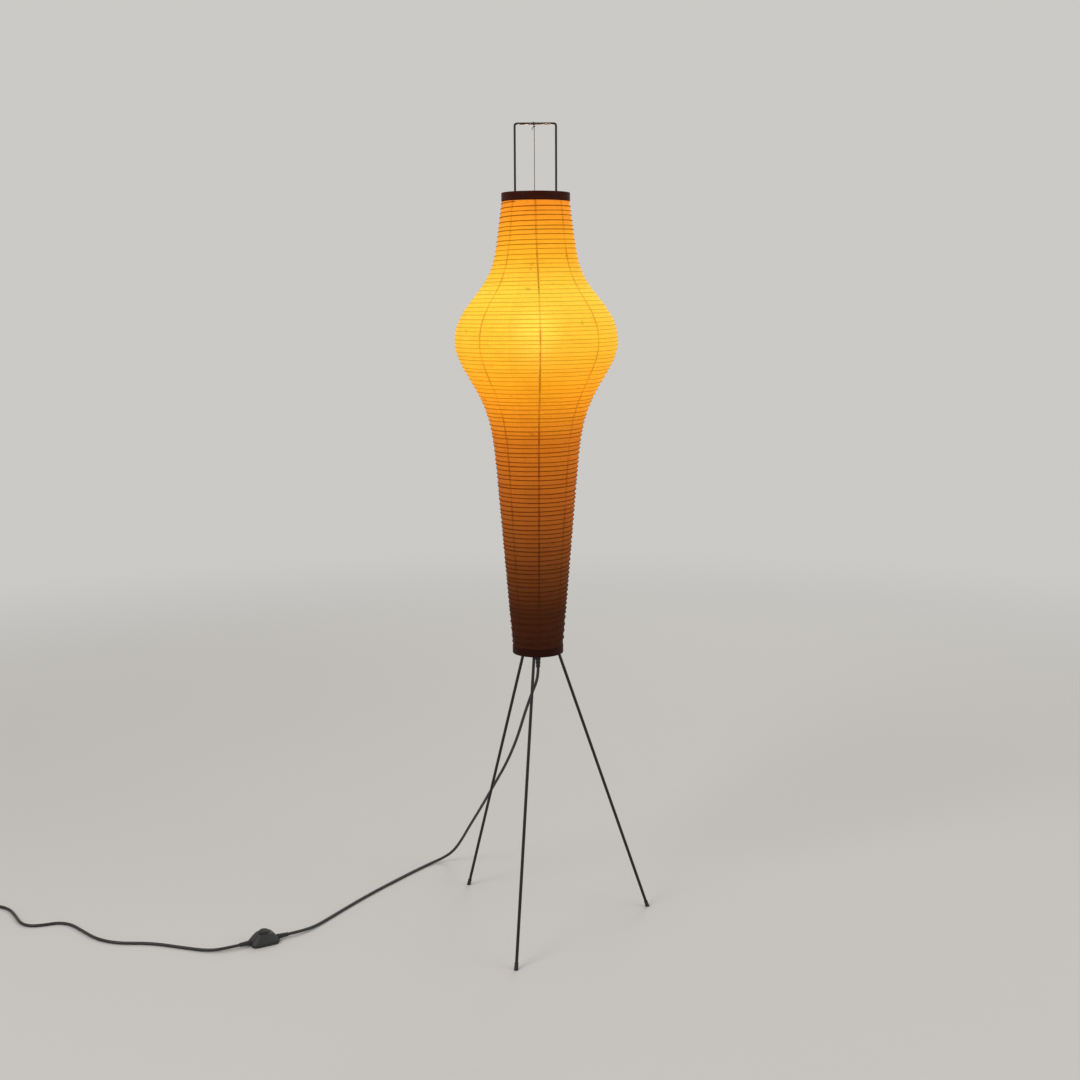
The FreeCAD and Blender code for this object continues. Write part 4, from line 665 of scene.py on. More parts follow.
LEAD_RADIUS = 0.003
SEAT_GAP = 0.00005
ROUTE_TO_SWITCH = mm((
    (0, 0, 527.7), (0, 0, 506.5), (-12, 8, 474), (-27, 31, 426), (-43, 69, 362), (-66, 115, 294),
    (-95, 162, 228.9), (-124, 208, 164), (-153, 249, 104), (-175, 280, 56), (-194, 298.1, 25.1),
    (-217.6, 300.6, 8.8), (-243, 285.1, 3.3), (-269.5, 249.8, 3.3), (-307, 196, 3.3), (-353, 128, 3.3),
    (-397, 55, 3.3), (-431, -6, 3.3), (-453, -44.1, 4.2), (-478.5, -72.8, 7.5), (-498.3, -83.9, 7.5),
))
ROUTE_FROM_SWITCH = mm((
    (-583.7, -132.1, 7.5), (-605, -144.1, 7.3), (-640, -148.5, 3.6), (-695, -133, 3.2), (-762, -112, 3.2),
    (-828, -112.5, 3.2), (-875, -93, 3.2), (-915, -55, 3.2), (-946, -25, 3.2), (-975, -15.6, 3.2),
    (-1001.1, -26.6, 3.2), (-1028, -31.7, 3.2), (-1052.1, -18.2, 3.2), (-1075, 18, 3.2), (-1098, 50, 3.2),
    (-1128, 67, 3.5), (-1156, 66.9, 3.8), (-1180, 66.18, 3.8),
))
COIL_START_RADIUS, COIL_PITCH, COIL_TAIL = 0.0385, 0.0074, 0.040
COIL_TURNS_IN, COIL_TURNS_CLIMB = 1.375, 0.5
COIL_TURNS = 2 * COIL_TURNS_IN + COIL_TURNS_CLIMB
COIL_POINTS_PER_TURN = 16
COIL_ENTRY = np.array((-1.180, 0.066, 0.0038))
COIL_CENTRE = COIL_ENTRY[:2] - (2 * LEAD_RADIUS, COIL_START_RADIUS)


def coil_point(turns):
    """The lead's axis in the coil: inwards on the floor, up a layer at a steady radius, and outwards again."""
    angle = TAU * (0.25 + turns)
    shrink = min(turns, COIL_TURNS_IN) - max(turns - COIL_TURNS_IN - COIL_TURNS_CLIMB, 0)
    share = min(max((turns - COIL_TURNS_IN) / COIL_TURNS_CLIMB, 0), 1)
    rise = COIL_PITCH * (1 - math.cos(math.pi * share)) / 2
    radius = COIL_START_RADIUS - COIL_PITCH * shrink
    return np.array((COIL_CENTRE[0] + radius * math.cos(angle), COIL_CENTRE[1] + radius * math.sin(angle),
                     COIL_ENTRY[2] + rise))


def lead_curve(name, route, nodes):
    """A lead on its route's points: a curve of order 3 that begins and ends on the first and last one."""
    curve = bpy.data.curves.new(name, "CURVE")
    curve.dimensions = "3D"
    spline = curve.splines.new("NURBS")
    spline.points.add(len(route) - 1)
    for point, place in zip(spline.points, route):
        point.co = (*place, 1)
    spline.order_u = 3
    spline.use_endpoint_u = True
    spline.resolution_u = 10
    curve.bevel_depth = LEAD_RADIUS
    curve.bevel_resolution = 5
    curve.use_fill_caps = True
    piece = bpy.data.objects.new(name, curve)
    scene.collection.objects.link(piece)
    return finish_piece(piece, "black_lead", "lamp", nodes)


coil_count = int(COIL_TURNS * COIL_POINTS_PER_TURN)
coil_route = [coil_point(COIL_TURNS * k / coil_count) for k in range(coil_count + 1)]
tail_way = coil_point(COIL_TURNS) - coil_point(COIL_TURNS - 1e-4)
tail_way /= np.linalg.norm(tail_way)
tail_end = coil_route[-1] + tail_way * COIL_TAIL
tail_route = [coil_route[-1] + tail_way * COIL_TAIL * share for share in (0.35, 0.7, 1.0)]
lead_to_switch = lead_curve("lead_to_switch", ROUTE_TO_SWITCH, ("cord_to_switch",))
lead_to_plug = lead_curve("lead_to_plug", ROUTE_FROM_SWITCH + coil_route + tail_route,
                          ("cord_from_switch", "cord_coil"))


def curve_centre(piece):
    """Points of a lead's own line, read from its spline."""
    bare = piece.data.copy()
    bare.bevel_depth = 0
    bare.use_fill_caps = False
    holder = bpy.data.objects.new("centre", bare)
    mesh = bpy.data.meshes.new_from_object(holder)
    points = np.array([v.co for v in mesh.vertices])
    bpy.data.objects.remove(holder)
    return points


def path_length(points):
    """The sum of the distances from each point to the next."""
    return float(np.linalg.norm(np.diff(np.asarray(points), axis=0), axis=1).sum())


def boot_profile(length, root, tip, bore, ribs, start=0.0):
    """A moulded bend relief along +Z: it tapers evenly from root to tip, and every other rib's middle is sunk."""
    profile = [(bore, start), (root, start)]
    for k in range(ribs):
        low, high = start + length * (k + 0.15) / ribs, start + length * (k + 0.85) / ribs
        ease = 0.18 * (high - low)
        for z, drop in ((low, 0), (low + ease, 0.0007), (high - ease, 0.0007), (high, 0)):
            share = (z - start) / length
            if k % 2 == 1 or drop == 0:
                profile.append((root + (tip - root) * share - drop, z))
    profile += [(tip, start + length), (bore, start + length)]
    return profile


def make_relief():
    """Under the hub: head and stem as on the CAD piece, with a grooved tail."""
    low, high = (corner[2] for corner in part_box("cord_strain_relief"))
    tail = 0.033
    bore = LEAD_RADIUS + SEAT_GAP
    profile = [(r, -z) for r, z in boot_profile(tail, 0.0060, 0.0042, bore, 9)][1:]
    head = high - low - tail
    outline = [(bore, head), (0.0095, head), (0.0095, head - 0.0025), (0.0060, head - 0.0025)] + profile
    points, faces = lathe(soften(outline, 0.0004, 2), 32)
    points = points + np.array((0, 0, low + tail))
    mesh_piece("lead_relief", points, faces, "black_rubber", "lamp", ("cord_strain_relief",))


make_relief()

# ---- foot switch ----

SWITCH_PLACE = (-0.541, -0.108)
SWITCH_BEARING = math.radians(29.3)
SWITCH = Matrix.Translation((*SWITCH_PLACE, 0)) @ Matrix.Rotation(SWITCH_BEARING, 4, "Z")
SWITCH_LENGTH, SWITCH_WIDTH, SWITCH_CORNER = 0.058, 0.040, 0.012
SWITCH_SPLIT, SWITCH_TOP, SWITCH_CORD = 0.006, 0.023, 0.0075
BUTTON_RADIUS, BUTTON_TOP, BUTTON_TRAVEL, MOVING_GAP = 0.0095, 0.028, 0.003, 0.0003


def make_switch_shells():
    """The two moulded shells, stacks of round-cornered loops: a tray with a rolled foot, and a hood that slopes to a
    flat top with the button's well."""
    wide, deep, corner = SWITCH_LENGTH, SWITCH_WIDTH, SWITCH_CORNER
    tray = [plate_loop(wide - drop, deep - drop, corner - drop / 2, z) for drop, z in (
        (0.0068, 0.0), (0.0046, 0.0001), (0.0034, 0.0007), (0.0024, 0.0018), (0.0004, 0.0051), (0.0008, 0.0057),
        (0.0016, 0.0058))]
    mesh_piece("switch_tray", *moved(stacked(tray), SWITCH), "black_moulding", "lamp", ("switch_base",))
    top_long, top_deep, top_corner = 0.030, 0.024, 0.009
    loops = []
    for share, z_share, inset in (
            (0.0, 0.012, 0.0010), (0.0, 0.0, 0.0002), (0.02, 0.03, 0.0), (0.10, 0.12, 0.0), (0.5, 0.55, -0.0004),
            (0.84, 0.88, 0.0), (0.93, 0.955, 0.0003), (0.985, 0.99, 0.0006)):
        z = SWITCH_SPLIT + 0.0002 + (SWITCH_TOP - SWITCH_SPLIT - 0.0002) * z_share
        loops.append(plate_loop(wide + (top_long - wide) * share - inset, deep + (top_deep - deep) * share - inset,
                                corner + (top_corner - corner) * share, z))
    count = len(loops[0])
    angles = np.arctan2(loops[-1][:, 1], loops[-1][:, 0])

    def round_loop(radius, z):
        """A circle with its points at the last loop's bearings."""
        return np.stack([radius * np.cos(angles), radius * np.sin(angles), np.full(count, z)], axis=1)

    well = BUTTON_RADIUS + MOVING_GAP
    loops += [round_loop(well + 0.0013, SWITCH_TOP), round_loop(well + 0.0003, SWITCH_TOP - 0.0001),
              round_loop(well, SWITCH_TOP - 0.0005), round_loop(well, SWITCH_TOP - 0.0021)]
    mesh_piece("switch_hood", *moved(stacked(loops, cap_high=False), SWITCH), "black_moulding", "lamp",
               ("switch_cover",))


def make_switch_button():
    """The button: a domed cap with three fine rings to grip."""
    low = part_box("switch_button")[0][2]
    high = BUTTON_TOP - low
    profile = [(0, 0), (0.011, 0), (0.011, 0.0016), (BUTTON_RADIUS, 0.0016), (BUTTON_RADIUS, high - 0.0018),
               (BUTTON_RADIUS - 0.0006, high - 0.0009), (BUTTON_RADIUS - 0.0018, high - 0.0004)]
    for radius in (0.0066, 0.0050, 0.0034):
        profile += [(radius + 0.0005, high - 0.0002), (radius + 0.0002, high - 0.0006),
                    (radius - 0.0002, high - 0.0006), (radius - 0.0005, high - 0.0001)]
    profile += [(0.0015, high), (0, high)]
    points, faces = lathe(profile, 40, closed=False)
    points = points + np.array((*SWITCH_PLACE, low))
    mesh_piece("switch_push", points, faces, "black_moulding", "button", ("switch_button",), 50)


def make_switch_leaf():
    """The leaf spring on the contact block, a bowed strip with flat feet: its height follows a raised cosine of the
    distance from its end."""
    low, high = (corner[2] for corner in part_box("switch_spring"))
    thick, half = 0.0007, 0.012
    along = np.linspace(-half, half, 33)
    share = 1 - np.abs(along) / half
    middle = low + thick / 2 + (high - low - thick) * (0.5 - 0.5 * np.cos(np.pi * share))
    lean = np.arctan(np.gradient(middle, along))
    width = 0.008 * np.clip(0.72 + 1.4 * share, 0, 1)
    loops = []
    for x, z, tilt, wide in zip(along, middle, lean, width):
        ring = plate_loop(thick, wide, thick * 0.4, 0, 24)
        loops.append(np.stack([x - ring[:, 0] * np.sin(tilt), ring[:, 1], z + ring[:, 0] * np.cos(tilt)], axis=1))
    leaf = mesh_piece("switch_leaf", *moved(stacked(loops[::-1]), SWITCH), "contact_brass", "lamp",
                      ("switch_spring",))
    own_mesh(leaf)


def make_switch_boots():
    """The two reliefs on the lead, turned on their side and seated in the shells' ends."""
    for end, way in (("lamp", 1), ("plug", -1)):
        profile = [(LEAD_RADIUS + SEAT_GAP, 0), (0.005, 0)] + boot_profile(0.020, 0.005, 0.004, 0.00305, 7, 0.005)[1:]
        points, faces = lathe(soften(profile, 0.0003, 2), 28)
        turn = Matrix.Rotation(math.radians(90 * way), 4, "Y")
        seat = Matrix.Translation(((SWITCH_LENGTH / 2 - 0.005) * way, 0, SWITCH_CORD))
        mesh_piece("switch_boot_" + end, *moved((points, faces), SWITCH @ seat @ turn), "black_rubber", "lamp",
                   ("switch_relief_" + end,))


make_switch_shells()
make_switch_button()
make_switch_leaf()
make_switch_boots()

# ---- plug and the band round the coil ----

PLUG = Matrix.Translation(tail_end) @ Matrix.Rotation(math.atan2(tail_way[1], tail_way[0]), 4, "Z")


def make_plug():
    """A flat moulded plug: waisted grip with finger ridges, and a grooved relief."""
    boot = lathe(soften(boot_profile(0.022, 0.0040, 0.0055, 0.0030, 8), 0.0003, 2), 28)
    along = Matrix.Rotation(math.radians(90), 4, "Y")
    mesh_piece("plug_boot", *moved(boot, PLUG @ along), "black_rubber", "lamp", ("plug_relief",))
    low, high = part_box("plug_body")[0][2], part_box("plug_body")[1][2]
    middle, tall = (low + high) / 2 - tail_end[2], high - low
    start, long = 0.022, 0.034
    loops = []
    for share, width, height in (
            (0.0, 0.0128, 0.62), (0.012, 0.0146, 0.72), (0.05, 0.0160, 0.80), (0.25, 0.0200, 0.93),
            (0.34, 0.0214, 0.95), (0.38, 0.0204, 0.91), (0.42, 0.0232, 0.97), (0.46, 0.0222, 0.93),
            (0.50, 0.0242, 0.985), (0.54, 0.0232, 0.95), (0.58, 0.0250, 1.0), (0.80, 0.0262, 1.0),
            (0.955, 0.0268, 1.0), (0.99, 0.0262, 0.975), (1.0, 0.0246, 0.92)):
        ring = plate_loop(tall * height, width, min(tall * height, width) * 0.32, 0, 48)
        loops.append(np.stack([np.full(len(ring), start + long * share), ring[:, 1], middle + ring[:, 0]], axis=1))
    mesh_piece("plug_grip", *moved(stacked(loops[::-1]), PLUG), "black_moulding", "lamp", ("plug_body",))


def make_tie():
    """A woven band drawn tight round all the turns: at each bearing it stands on the turn that reaches furthest that
    way, one wire radius from the turn's line."""
    low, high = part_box("coil_tie")
    middle, edge = (low[1] + high[1]) / 2, (high[1] - low[1]) / 2
    line = curve_centre(lead_to_plug)
    past_x, past_y = 0.004, 0.0015
    beside = (line[:, 0] > low[0] - past_x) & (line[:, 0] < high[0] + past_x)
    here = line[beside & (np.abs(line[:, 1] - middle) < past_y)]
    angles = TAU * (np.arange(72) + 0.5) / 72
    ways = np.stack([np.cos(angles), np.sin(angles)], axis=1)
    turns = here[:, [0, 2]]
    furthest = turns[np.argmax(ways @ turns.T, axis=1)]
    loops = []
    for away, y in ((0.0006, 0.0002 - edge), (0.0006, edge - 0.0002), (0.0004, edge), (0.0001, edge - 0.0002),
                    (0.0001, 0.0002 - edge), (0.0004, -edge)):
        loop = furthest + (LEAD_RADIUS + away) * ways
        loops.append(np.stack([loop[:, 0], np.full(len(loop), middle + y), loop[:, 1]], axis=1))
    mesh_piece("coil_band", np.concatenate(loops), net_faces(len(loops), len(angles), close_rows=True), "tie_band",
               "lamp", ("coil_tie",))


make_plug()
make_tie()

path_length(curve_centre(lead_to_switch))
path_length(curve_centre(lead_to_plug))

# ---- tripod ----

LEG_RADIUS = 0.003
FOOT_CIRCLE, LEG_CIRCLE, HUB_UNDERSIDE = 0.232, 0.040, 0.5607
LEG_BEARINGS = (("right", 14.4), ("left", 131.0), ("front", 259.1))
CAP_LENGTH, CAP_RADIUS, CAP_TOP_RADIUS, CAP_FLOOR = 0.013, 0.0042, 0.0039, 0.003


def make_leg(side, bearing):
    """A straight rod, and a rubber cap that is cut level at the floor, with a rolled upper rim."""
    out = np.array((math.cos(math.radians(bearing)), math.sin(math.radians(bearing)), 0))
    foot = out * FOOT_CIRCLE
    way = out * LEG_CIRCLE + np.array((0, 0, HUB_UNDERSIDE)) - foot
    way /= np.linalg.norm(way)
    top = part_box("leg_" + side)[1][2]
    start, end = foot + way * CAP_FLOOR, foot + way * (top - LEG_RADIUS * 0.4) / way[2]
    mesh_piece("rod_" + side, *tube([start, (start + end) / 2, end], LEG_RADIUS, 24), "black_steel", "lamp",
               ("leg_" + side,))
    profile = [(0.0, CAP_FLOOR), (0.00305, CAP_FLOOR), (0.00305, CAP_LENGTH - 0.0003), (0.0034, CAP_LENGTH),
               (0.0037, CAP_LENGTH - 0.0001), (CAP_TOP_RADIUS, CAP_LENGTH - 0.0005), (0.0039, CAP_LENGTH - 0.0018),
               (0.0037, CAP_LENGTH - 0.0022), (0.0039, 0.006), (CAP_RADIUS - 0.0001, 0.0028), (CAP_RADIUS, 0.0016),
               (CAP_RADIUS, -0.004), (0.0, -0.004)]
    points, faces = lathe(profile, 32, closed=False)
    turn = Vector((0, 0, 1)).rotation_difference(Vector(way)).to_matrix().to_4x4()
    points, faces = moved((points, faces), Matrix.Translation(foot) @ turn)
    below = np.minimum(points[:, 2], 0)
    points = points - way * (below / way[2])[:, None]
    mesh_piece("cap_" + side, points, faces, "black_rubber", "lamp", ("foot_cap_" + side,))


for leg_side, leg_bearing in LEG_BEARINGS:
    make_leg(leg_side, leg_bearing)

# ---- wire frame, rings, cross wire and string ----

FRAME_HALF, FRAME_WIRE, BAR_HEIGHT = 0.0385, 0.002, 1.568
CROSS_WIRE_RADIUS = 0.0011
STRING_X, STRING_RADIUS, STRING_TWIST = -0.002, 0.00075, 0.003


def make_frame():
    """One wire from the hub up, over and down again: a tube along straight runs with rounded corners."""
    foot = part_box("wire_frame")[0][2]
    path = arc_path(((-FRAME_HALF, 0, foot), (-FRAME_HALF, 0, BAR_HEIGHT), (FRAME_HALF, 0, BAR_HEIGHT),
                     (FRAME_HALF, 0, foot)), 0.004, 10)
    mesh_piece("frame_wire", *tube(path, FRAME_WIRE, 20), "black_steel", "lamp", ("wire_frame",))


def hoop(name, node, wall, lip, lip_width, body):
    """A bent wooden hoop with softened edges. At the back, where its two ends overlap, its outside stands 0.5 mm
    proud, falling evenly to nothing."""
    low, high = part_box(node)
    outer, tall = (high[0] - low[0]) / 2, high[2] - low[2]
    inner = outer - wall
    profile = [(inner, 0), (outer, 0), (outer, tall), (inner, tall)]
    if lip:
        profile[:1] = [(inner, lip), (inner - lip_width, lip), (inner - lip_width, 0)]
    points, faces = lathe(soften(profile, 0.0009, 4), 144)
    angle = np.arctan2(points[..., 1], points[..., 0])
    past = (angle - math.radians(78)) / math.radians(34)
    proud = np.where((past > 0) & (past < 1), 0.0005 * (1 - past), 0.0)
    radius = np.hypot(points[..., 0], points[..., 1])
    grow = 1 + np.where(radius > inner + wall * 0.6, proud, 0) / radius
    points = points * np.stack([grow, grow, np.ones_like(grow)], axis=-1) + np.array((0, 0, low[2]))
    mesh_piece(name, points, faces, "lacquered_hoop", body, (node,))


def make_cross_wire():
    """The wire across the upper hoop: a tube along straight runs that step aside round both uprights."""
    low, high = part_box("ring_cross_wire")
    level = (low[2] + high[2]) / 2
    reach, swerve = (high[0] - low[0]) / 2, (high[1] - low[1]) / 2 - CROSS_WIRE_RADIUS
    beside, slant = 0.003, swerve * 1.35
    left = [(-reach, 0), (-FRAME_HALF - beside - slant, 0), (-FRAME_HALF - beside, swerve),
            (-FRAME_HALF + beside, swerve), (-FRAME_HALF + beside + slant, 0)]
    right = [(-x, -y) for x, y in reversed(left)]
    path = arc_path([(x, y, level) for x, y in left + right], 0.0032, 5)
    mesh_piece("cross_wire", *tube(path, CROSS_WIRE_RADIUS, 14), "black_steel", "upper_ring", ("ring_cross_wire",))
    return level


def twisted(path, radius, pitch, strands=2, sides=7):
    """Strands wound round each other along a path, each at an angle that grows evenly with the way along it."""
    path = np.asarray(path, float)
    way, side = frames_along(path)
    other = np.cross(way, side)
    run = np.concatenate([[0], np.cumsum(np.linalg.norm(np.diff(path, axis=0), axis=1))])
    nets = []
    for strand in range(strands):
        angle = TAU * (run / pitch + strand / strands)
        offset = radius * 0.48 * (side * np.cos(angle)[:, None] + other * np.sin(angle)[:, None])
        nets.append(tube(path + offset, radius * 0.54, sides))
    return joined(*nets)


def winding(centre, axis_x, radius, turns, spread, start=0.0, count=18):
    """Points of turns round a wire that runs along X, moving aside by spread."""
    angles = start + TAU * turns * np.linspace(0, 1, int(count * turns) + 1)
    x = np.linspace(-0.5, 0.5, len(angles)) * spread + axis_x
    return np.stack([x, centre[0] + radius * np.sin(angles), centre[1] + radius * np.cos(angles)], axis=1)


def make_string(level):
    """The string from the bar to the cross wire, wound twice round each and knotted, with short cut ends that bend
    aside as a sine."""
    x, radius, spread = STRING_X, STRING_RADIUS, 0.0030
    bar = winding((0, BAR_HEIGHT), x - 0.0012, FRAME_WIRE + radius, 2, spread, math.pi)
    ring = winding((0, level), x - 0.0012, CROSS_WIRE_RADIUS + radius, 2, spread)
    run = np.linspace(0, 1, 150)
    top, bottom = BAR_HEIGHT - FRAME_WIRE - radius, level + CROSS_WIRE_RADIUS + radius
    strand = np.column_stack([np.full(len(run), x), 0.0006 * run - 0.0003, top + (bottom - top) * run])
    angles = TAU * np.linspace(0, 1, 37)[:-1]
    knots = []
    for z in (BAR_HEIGHT - 0.0052, level + 0.0046):
        turn = np.column_stack([x + 0.00125 * np.cos(2 * angles), 0.00125 * np.sin(2 * angles),
                                z + 0.0009 * np.sin(angles)])
        knots.append(tube(turn, 0.0006, 8, closed=True))
    run = np.linspace(0, 1, 14)
    ends = []
    for z, drop in ((BAR_HEIGHT - 0.0050, -0.007), (level + 0.0050, 0.006)):
        bend = np.column_stack([x - 0.0012 - 0.0030 * np.sin(1.5 * run), -0.0008 - 0.0004 * run, z + drop * run])
        ends.append(twisted(bend, radius * 0.9, STRING_TWIST))
    net = joined(twisted(bar, radius, STRING_TWIST), twisted(ring, radius, STRING_TWIST),
                 twisted(strand, radius, 0.0032), *knots, *ends)
    piece = mesh_piece("hanging_string", *net, "linen_string", None, ("shade_string",), 60)
    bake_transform(piece)


make_frame()
hoop("lower_hoop", "base_ring", 0.0029, 0.0011, 0.003, "lamp")
hoop("upper_hoop", "top_ring", 0.0028, 0, 0, "upper_ring")
make_string(make_cross_wire())

# ---- paper and rib ----

SHADE_HEIGHT, SHADE_BOTTOM, SHADE_TOP = 0.8515, 0.0495, 0.0639
BULGE_HEIGHT, BULGE_RADIUS, BODY_RADIUS, BODY_BLEND = 0.593, 0.1552, 0.0985, 0.003
BULGE_REACH, BULGE_FULLNESS = (0.1003, 0.0965), (2.0, 2.7)
RIB_TURNS = 100
RIB_PITCH = (
    (0.0, 0.0138), (0.050, 0.0138), (0.070, 0.0088), (0.390, 0.0087), (0.450, 0.0080), (0.560, 0.0076),
    (0.700, 0.0075), (0.740, 0.0087), (0.8515, 0.0087),
)
RIB_RADIUS, RIB_STEPS = 0.00084, 90
PAPER_COLUMNS, PAPER_BANDS, PAPER_DRAWN_IN = 96, 6, 0.0010


def lantern_radius(height):
    """Outer radius of the paper at a height above the base ring: the smaller of two cones' radii, rounded where they
    meet by a root of a sum of squares, plus a bell, e to the minus a power of the distance from the bulge's middle."""
    height = np.asarray(height, float)
    rising = SHADE_BOTTOM + (BODY_RADIUS - SHADE_BOTTOM) * height / BULGE_HEIGHT
    falling = SHADE_TOP + (BODY_RADIUS - SHADE_TOP) * (SHADE_HEIGHT - height) / (SHADE_HEIGHT - BULGE_HEIGHT)
    cones = (rising + falling) / 2 - np.hypot((rising - falling) / 2, BODY_BLEND)
    below = height < BULGE_HEIGHT
    reach = np.where(below, BULGE_REACH[0], BULGE_REACH[1])
    fullness = np.where(below, BULGE_FULLNESS[0], BULGE_FULLNESS[1])
    peak = BULGE_RADIUS - BODY_RADIUS + BODY_BLEND
    return cones + peak * np.exp(-((np.abs(height - BULGE_HEIGHT) / reach) ** fullness))


WOUND_HEIGHT = np.linspace(0, SHADE_HEIGHT, 400)
WOUND_TURNS = np.cumsum(1 / np.interp(WOUND_HEIGHT, *np.transpose(RIB_PITCH)))
WOUND_TURNS = (WOUND_TURNS - WOUND_TURNS[0]) * RIB_TURNS / (WOUND_TURNS[-1] - WOUND_TURNS[0])
WOUND_HEIGHT = np.concatenate([[-2 * RIB_PITCH[0][1]], WOUND_HEIGHT, [SHADE_HEIGHT + 2 * RIB_PITCH[-1][1]]])
WOUND_TURNS = np.concatenate([[-2], WOUND_TURNS, [RIB_TURNS + 2]])

UNEVEN_TURNS = np.arange(-2, RIB_TURNS + 2.2, 0.4)
UNEVEN = np.random.default_rng(11).normal(0, 1, len(UNEVEN_TURNS)).clip(-1.8, 1.8)
UNEVEN = UNEVEN * np.interp(UNEVEN_TURNS, (40, 60), (0.0008, 0.0005))


def rib_height(turns):
    """Height of the rib after a number of turns: wide at the foot, close over the bulge, with a slow waver made of two
    sines of the turn, a tilt made of a sine of the bearing, and an uneven part drawn for every 0.4 of a turn."""
    waver = 0.00042 * np.sin(1.7 * turns + 0.4) + 0.0003 * np.sin(0.61 * turns + 2.0)
    waver = waver + 0.00036 * np.sin(TAU * turns * 1.013 + 1.1) + np.interp(turns, UNEVEN_TURNS, UNEVEN)
    return np.interp(turns, WOUND_TURNS, WOUND_HEIGHT) + waver


def crumple(angle, height):
    """Small unevenness of hand-laid paper: three sines of bearing and height."""
    return (0.00022 * np.sin(5 * angle + 60 * height) + 0.00016 * np.sin(11 * angle - 130 * height + 1)
            + 0.00012 * np.sin(23 * angle + 310 * height))


def make_paper():
    """The paper follows the rib: out over each turn, and drawn in between turns by a sine of the part of a turn. The
    net of points winds with the rib, so that its last column joins the first one a whole turn higher."""
    columns, bands = PAPER_COLUMNS, PAPER_BANDS
    rows = RIB_TURNS * bands + 2 * bands + 1
    angle = TAU * np.arange(columns) / columns
    turns = np.arange(rows)[:, None] / bands - 1 + angle[None, :] / TAU
    height = np.clip(rib_height(turns), 0, SHADE_HEIGHT)
    drawn_in = np.sin(np.pi * (turns % 1.0)) ** 0.8
    radius = lantern_radius(height) - PAPER_DRAWN_IN * drawn_in
    radius = radius + crumple(angle[None, :], height) * (0.3 + drawn_in)
    points = np.stack([radius * np.cos(angle), radius * np.sin(angle), height + PAPER_FOOT], axis=-1).reshape(-1, 3)
    net = np.arange(rows * columns).reshape(rows, columns)
    risen = net[np.minimum(np.arange(rows) + bands, rows - 1), :1]
    ahead = np.concatenate([net[:, 1:], risen], axis=1)
    faces = np.stack([net[:-1], ahead[:-1], ahead[1:], net[1:]], axis=-1).reshape(-1, 4)
    faces = faces[np.ptp(points[faces, 2], axis=1) > 1e-6]
    used = np.unique(faces)
    place_of = np.zeros(len(points), int)
    place_of[used] = np.arange(len(used))
    return mesh_piece("lantern_paper", points[used], place_of[faces].tolist(), "mulberry_paper", "lamp",
                      ("paper_shade",), None)


def make_rib():
    """The split-bamboo rib: a five-sided section carried along the winding from ring to ring, its width wavering as
    two sines of the turn."""
    turns = np.linspace(0.35, RIB_TURNS - 0.35, RIB_TURNS * RIB_STEPS)
    height = rib_height(turns)
    radius = lantern_radius(height) + 0.0001
    angle = TAU * turns
    out = np.stack([np.cos(angle), np.sin(angle), np.zeros_like(angle)], axis=-1)
    up = np.array((0, 0, 1.0))
    centre = out * radius[:, None] + up * (height + PAPER_FOOT)[:, None]
    across = RIB_RADIUS * (1 + 0.12 * np.sin(turns * 2.3) + 0.08 * np.sin(turns * 7.7))
    corners = ((0.9, -0.55), (0.9, 0.55), (0, 1.0), (-0.9, 0), (0, -1.0))
    loops = np.stack([centre + across[:, None] * (out * a + up * b) for a, b in corners], axis=1)
    return mesh_piece("lantern_rib", *stacked(loops), "bamboo", "lamp", ("rib_winding",), 60)


for soft_piece in (make_paper(), make_rib()):
    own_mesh(soft_piece)

# ---- lampholder and bulb ----


def make_holder():
    """The lower cap with its rings, and the skirt with its grooves and bevelled mouth."""
    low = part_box("lampholder_cap")[0][2]
    hole, neck, outer, inner = 0.00505, 0.011, 0.020, 0.018
    cap = [(hole, 0), (neck, 0), (outer, 0.010), (outer, 0.0205), (outer - 0.0008, 0.0210), (outer - 0.0008, 0.0222),
           (outer, 0.0227), (outer, 0.024), (inner, 0.024), (inner, 0.012), (inner - 0.002, 0.012),
           (neck - 0.002, 0.003), (hole, 0.003)]
    points, faces = lathe(soften(cap, 0.0005, 2), 64)
    mesh_piece("holder_lower", points + np.array((0, 0, low)), faces, "black_moulding", "lamp", ("lampholder_cap",))
    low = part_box("lampholder_shell")[0][2]
    shell = [(inner, 0), (outer, 0), (outer, 0.004)]
    for k in range(5):
        z = 0.007 + 0.0032 * k
        shell += [(outer, z), (outer - 0.0006, z + 0.0008), (outer - 0.0006, z + 0.0016), (outer, z + 0.0024)]
    shell += [(outer, 0.0273), (outer - 0.0012, 0.0285), (inner, 0.0285)]
    points, faces = lathe(soften(shell, 0.0004, 2), 64)
    mesh_piece("holder_skirt", points + np.array((0, 0, low)), faces, "black_moulding", "lamp",
               ("lampholder_shell",))


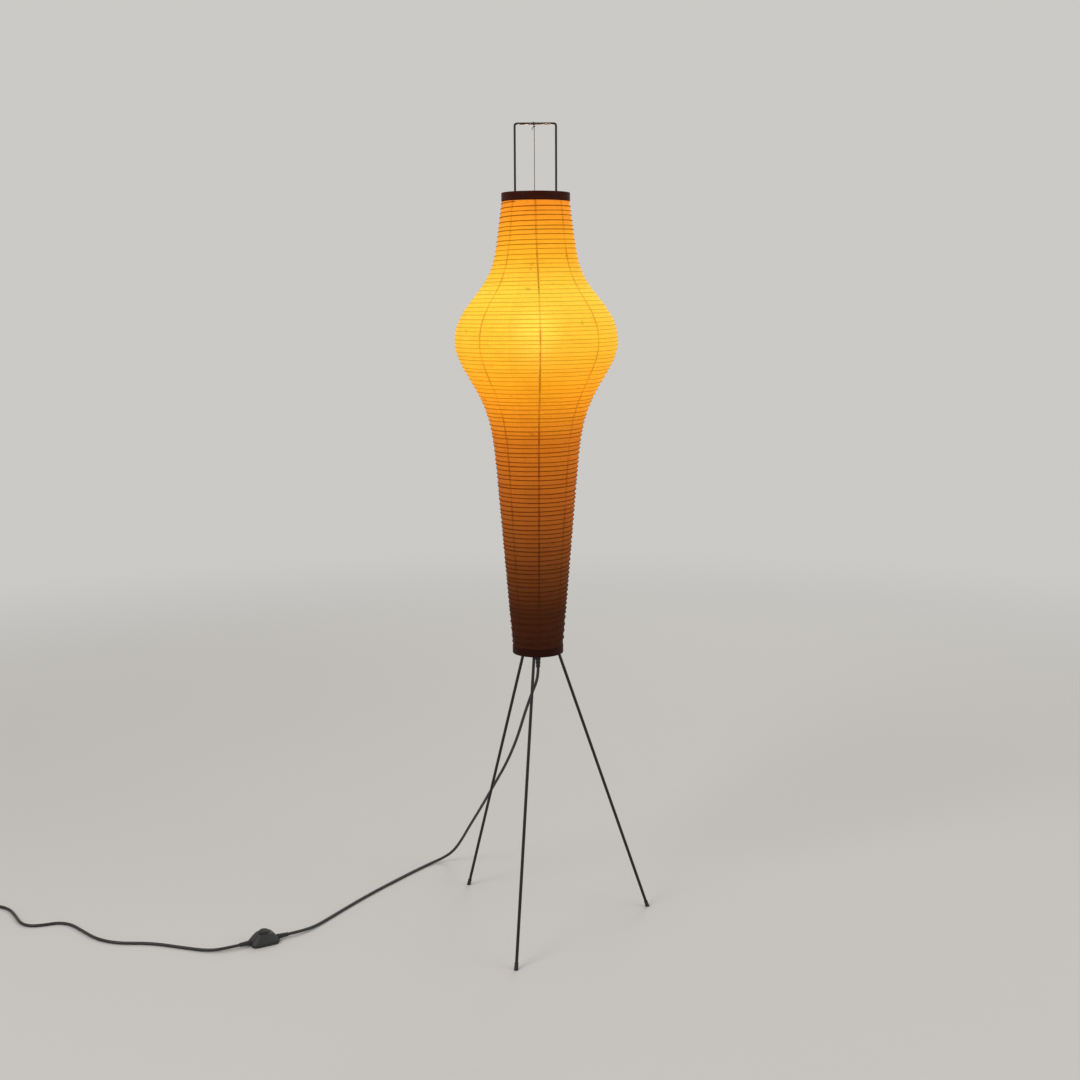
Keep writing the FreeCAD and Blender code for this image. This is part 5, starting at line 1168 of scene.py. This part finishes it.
def make_bulb():
    """The glass: a straight neck, then a hollow arc, then the globe's arc that starts where the two touch."""
    low, high = (corner[2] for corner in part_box("bulb_glass"))
    globe, throat, neck = 0.030, 0.036, 0.0122
    middle = high - globe
    drop = math.sqrt((globe + throat) ** 2 - (neck + throat) ** 2)
    slope = math.atan2(drop, neck + throat)
    hollow, full = np.linspace(0, slope, 14)[:-1], np.linspace(-slope, math.pi / 2, 34)
    profile = np.concatenate([
        [(neck, low)],
        np.column_stack([neck + throat - throat * np.cos(hollow), middle - drop + throat * np.sin(hollow)]),
        np.column_stack([np.maximum(globe * np.cos(full), 0), middle + globe * np.sin(full)]),
    ])
    points, faces = lathe(profile, 64, closed=False)
    globe_piece = mesh_piece("bulb_globe", points, faces, "opal_glass", "bulb", ("bulb_glass",), None)
    globe_piece.visible_shadow = False


def thread_bulb_cap():
    """The rolled thread: a net whose radius is a cosine of the height in pitches less the angle in turns, eased to
    nothing at both ends, between a foot and a rim."""
    low, high = (corner[2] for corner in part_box("bulb_cap"))
    pitch, outer, deep = 0.003629, 0.0130, 0.0009
    start, end = 0.0045, high - low - 0.0035
    sides, rows = 56, 60
    angle = TAU * np.arange(sides) / sides
    z = np.linspace(start, end, rows)[:, None] + 0 * angle
    wave = np.cos(TAU * (z / pitch - angle / TAU))
    ease = np.minimum(1, np.minimum(z - start, end - z) / 0.002)
    radius = outer - deep / 2 + deep / 2 * wave * ease
    body = np.stack([radius * np.cos(angle), radius * np.sin(angle), z], axis=-1)
    foot = [(0.00405, 0.0), (0.0100, 0.0010), (0.0122, 0.0030)]
    rim = [(0.0126, high - low - 0.0018), (0.0130, high - low - 0.0006), (0.0130, high - low), (0.0124, high - low)]
    net = np.concatenate([lathe(foot, sides)[0], body, lathe(rim, sides)[0]]) + np.array((0, 0, low))
    mesh_piece("bulb_screw", net, net_faces(len(net), sides), "contact_brass", "bulb", ("bulb_cap",), 60)


make_holder()
make_bulb()
thread_bulb_cap()

# ---- finishes of the CAD nodes that are kept ----

SLOT_OF = {entry["node"]: entry["material_slot"] for entry in frame["record"]["subparts"]}
for node_name, node in NODES.items():
    if not node.hide_render:
        node.data.materials.clear()
        node.data.materials.append(MATERIALS[SLOT_OF[node_name]])
        node.data.set_sharp_from_angle(angle=math.radians(32))
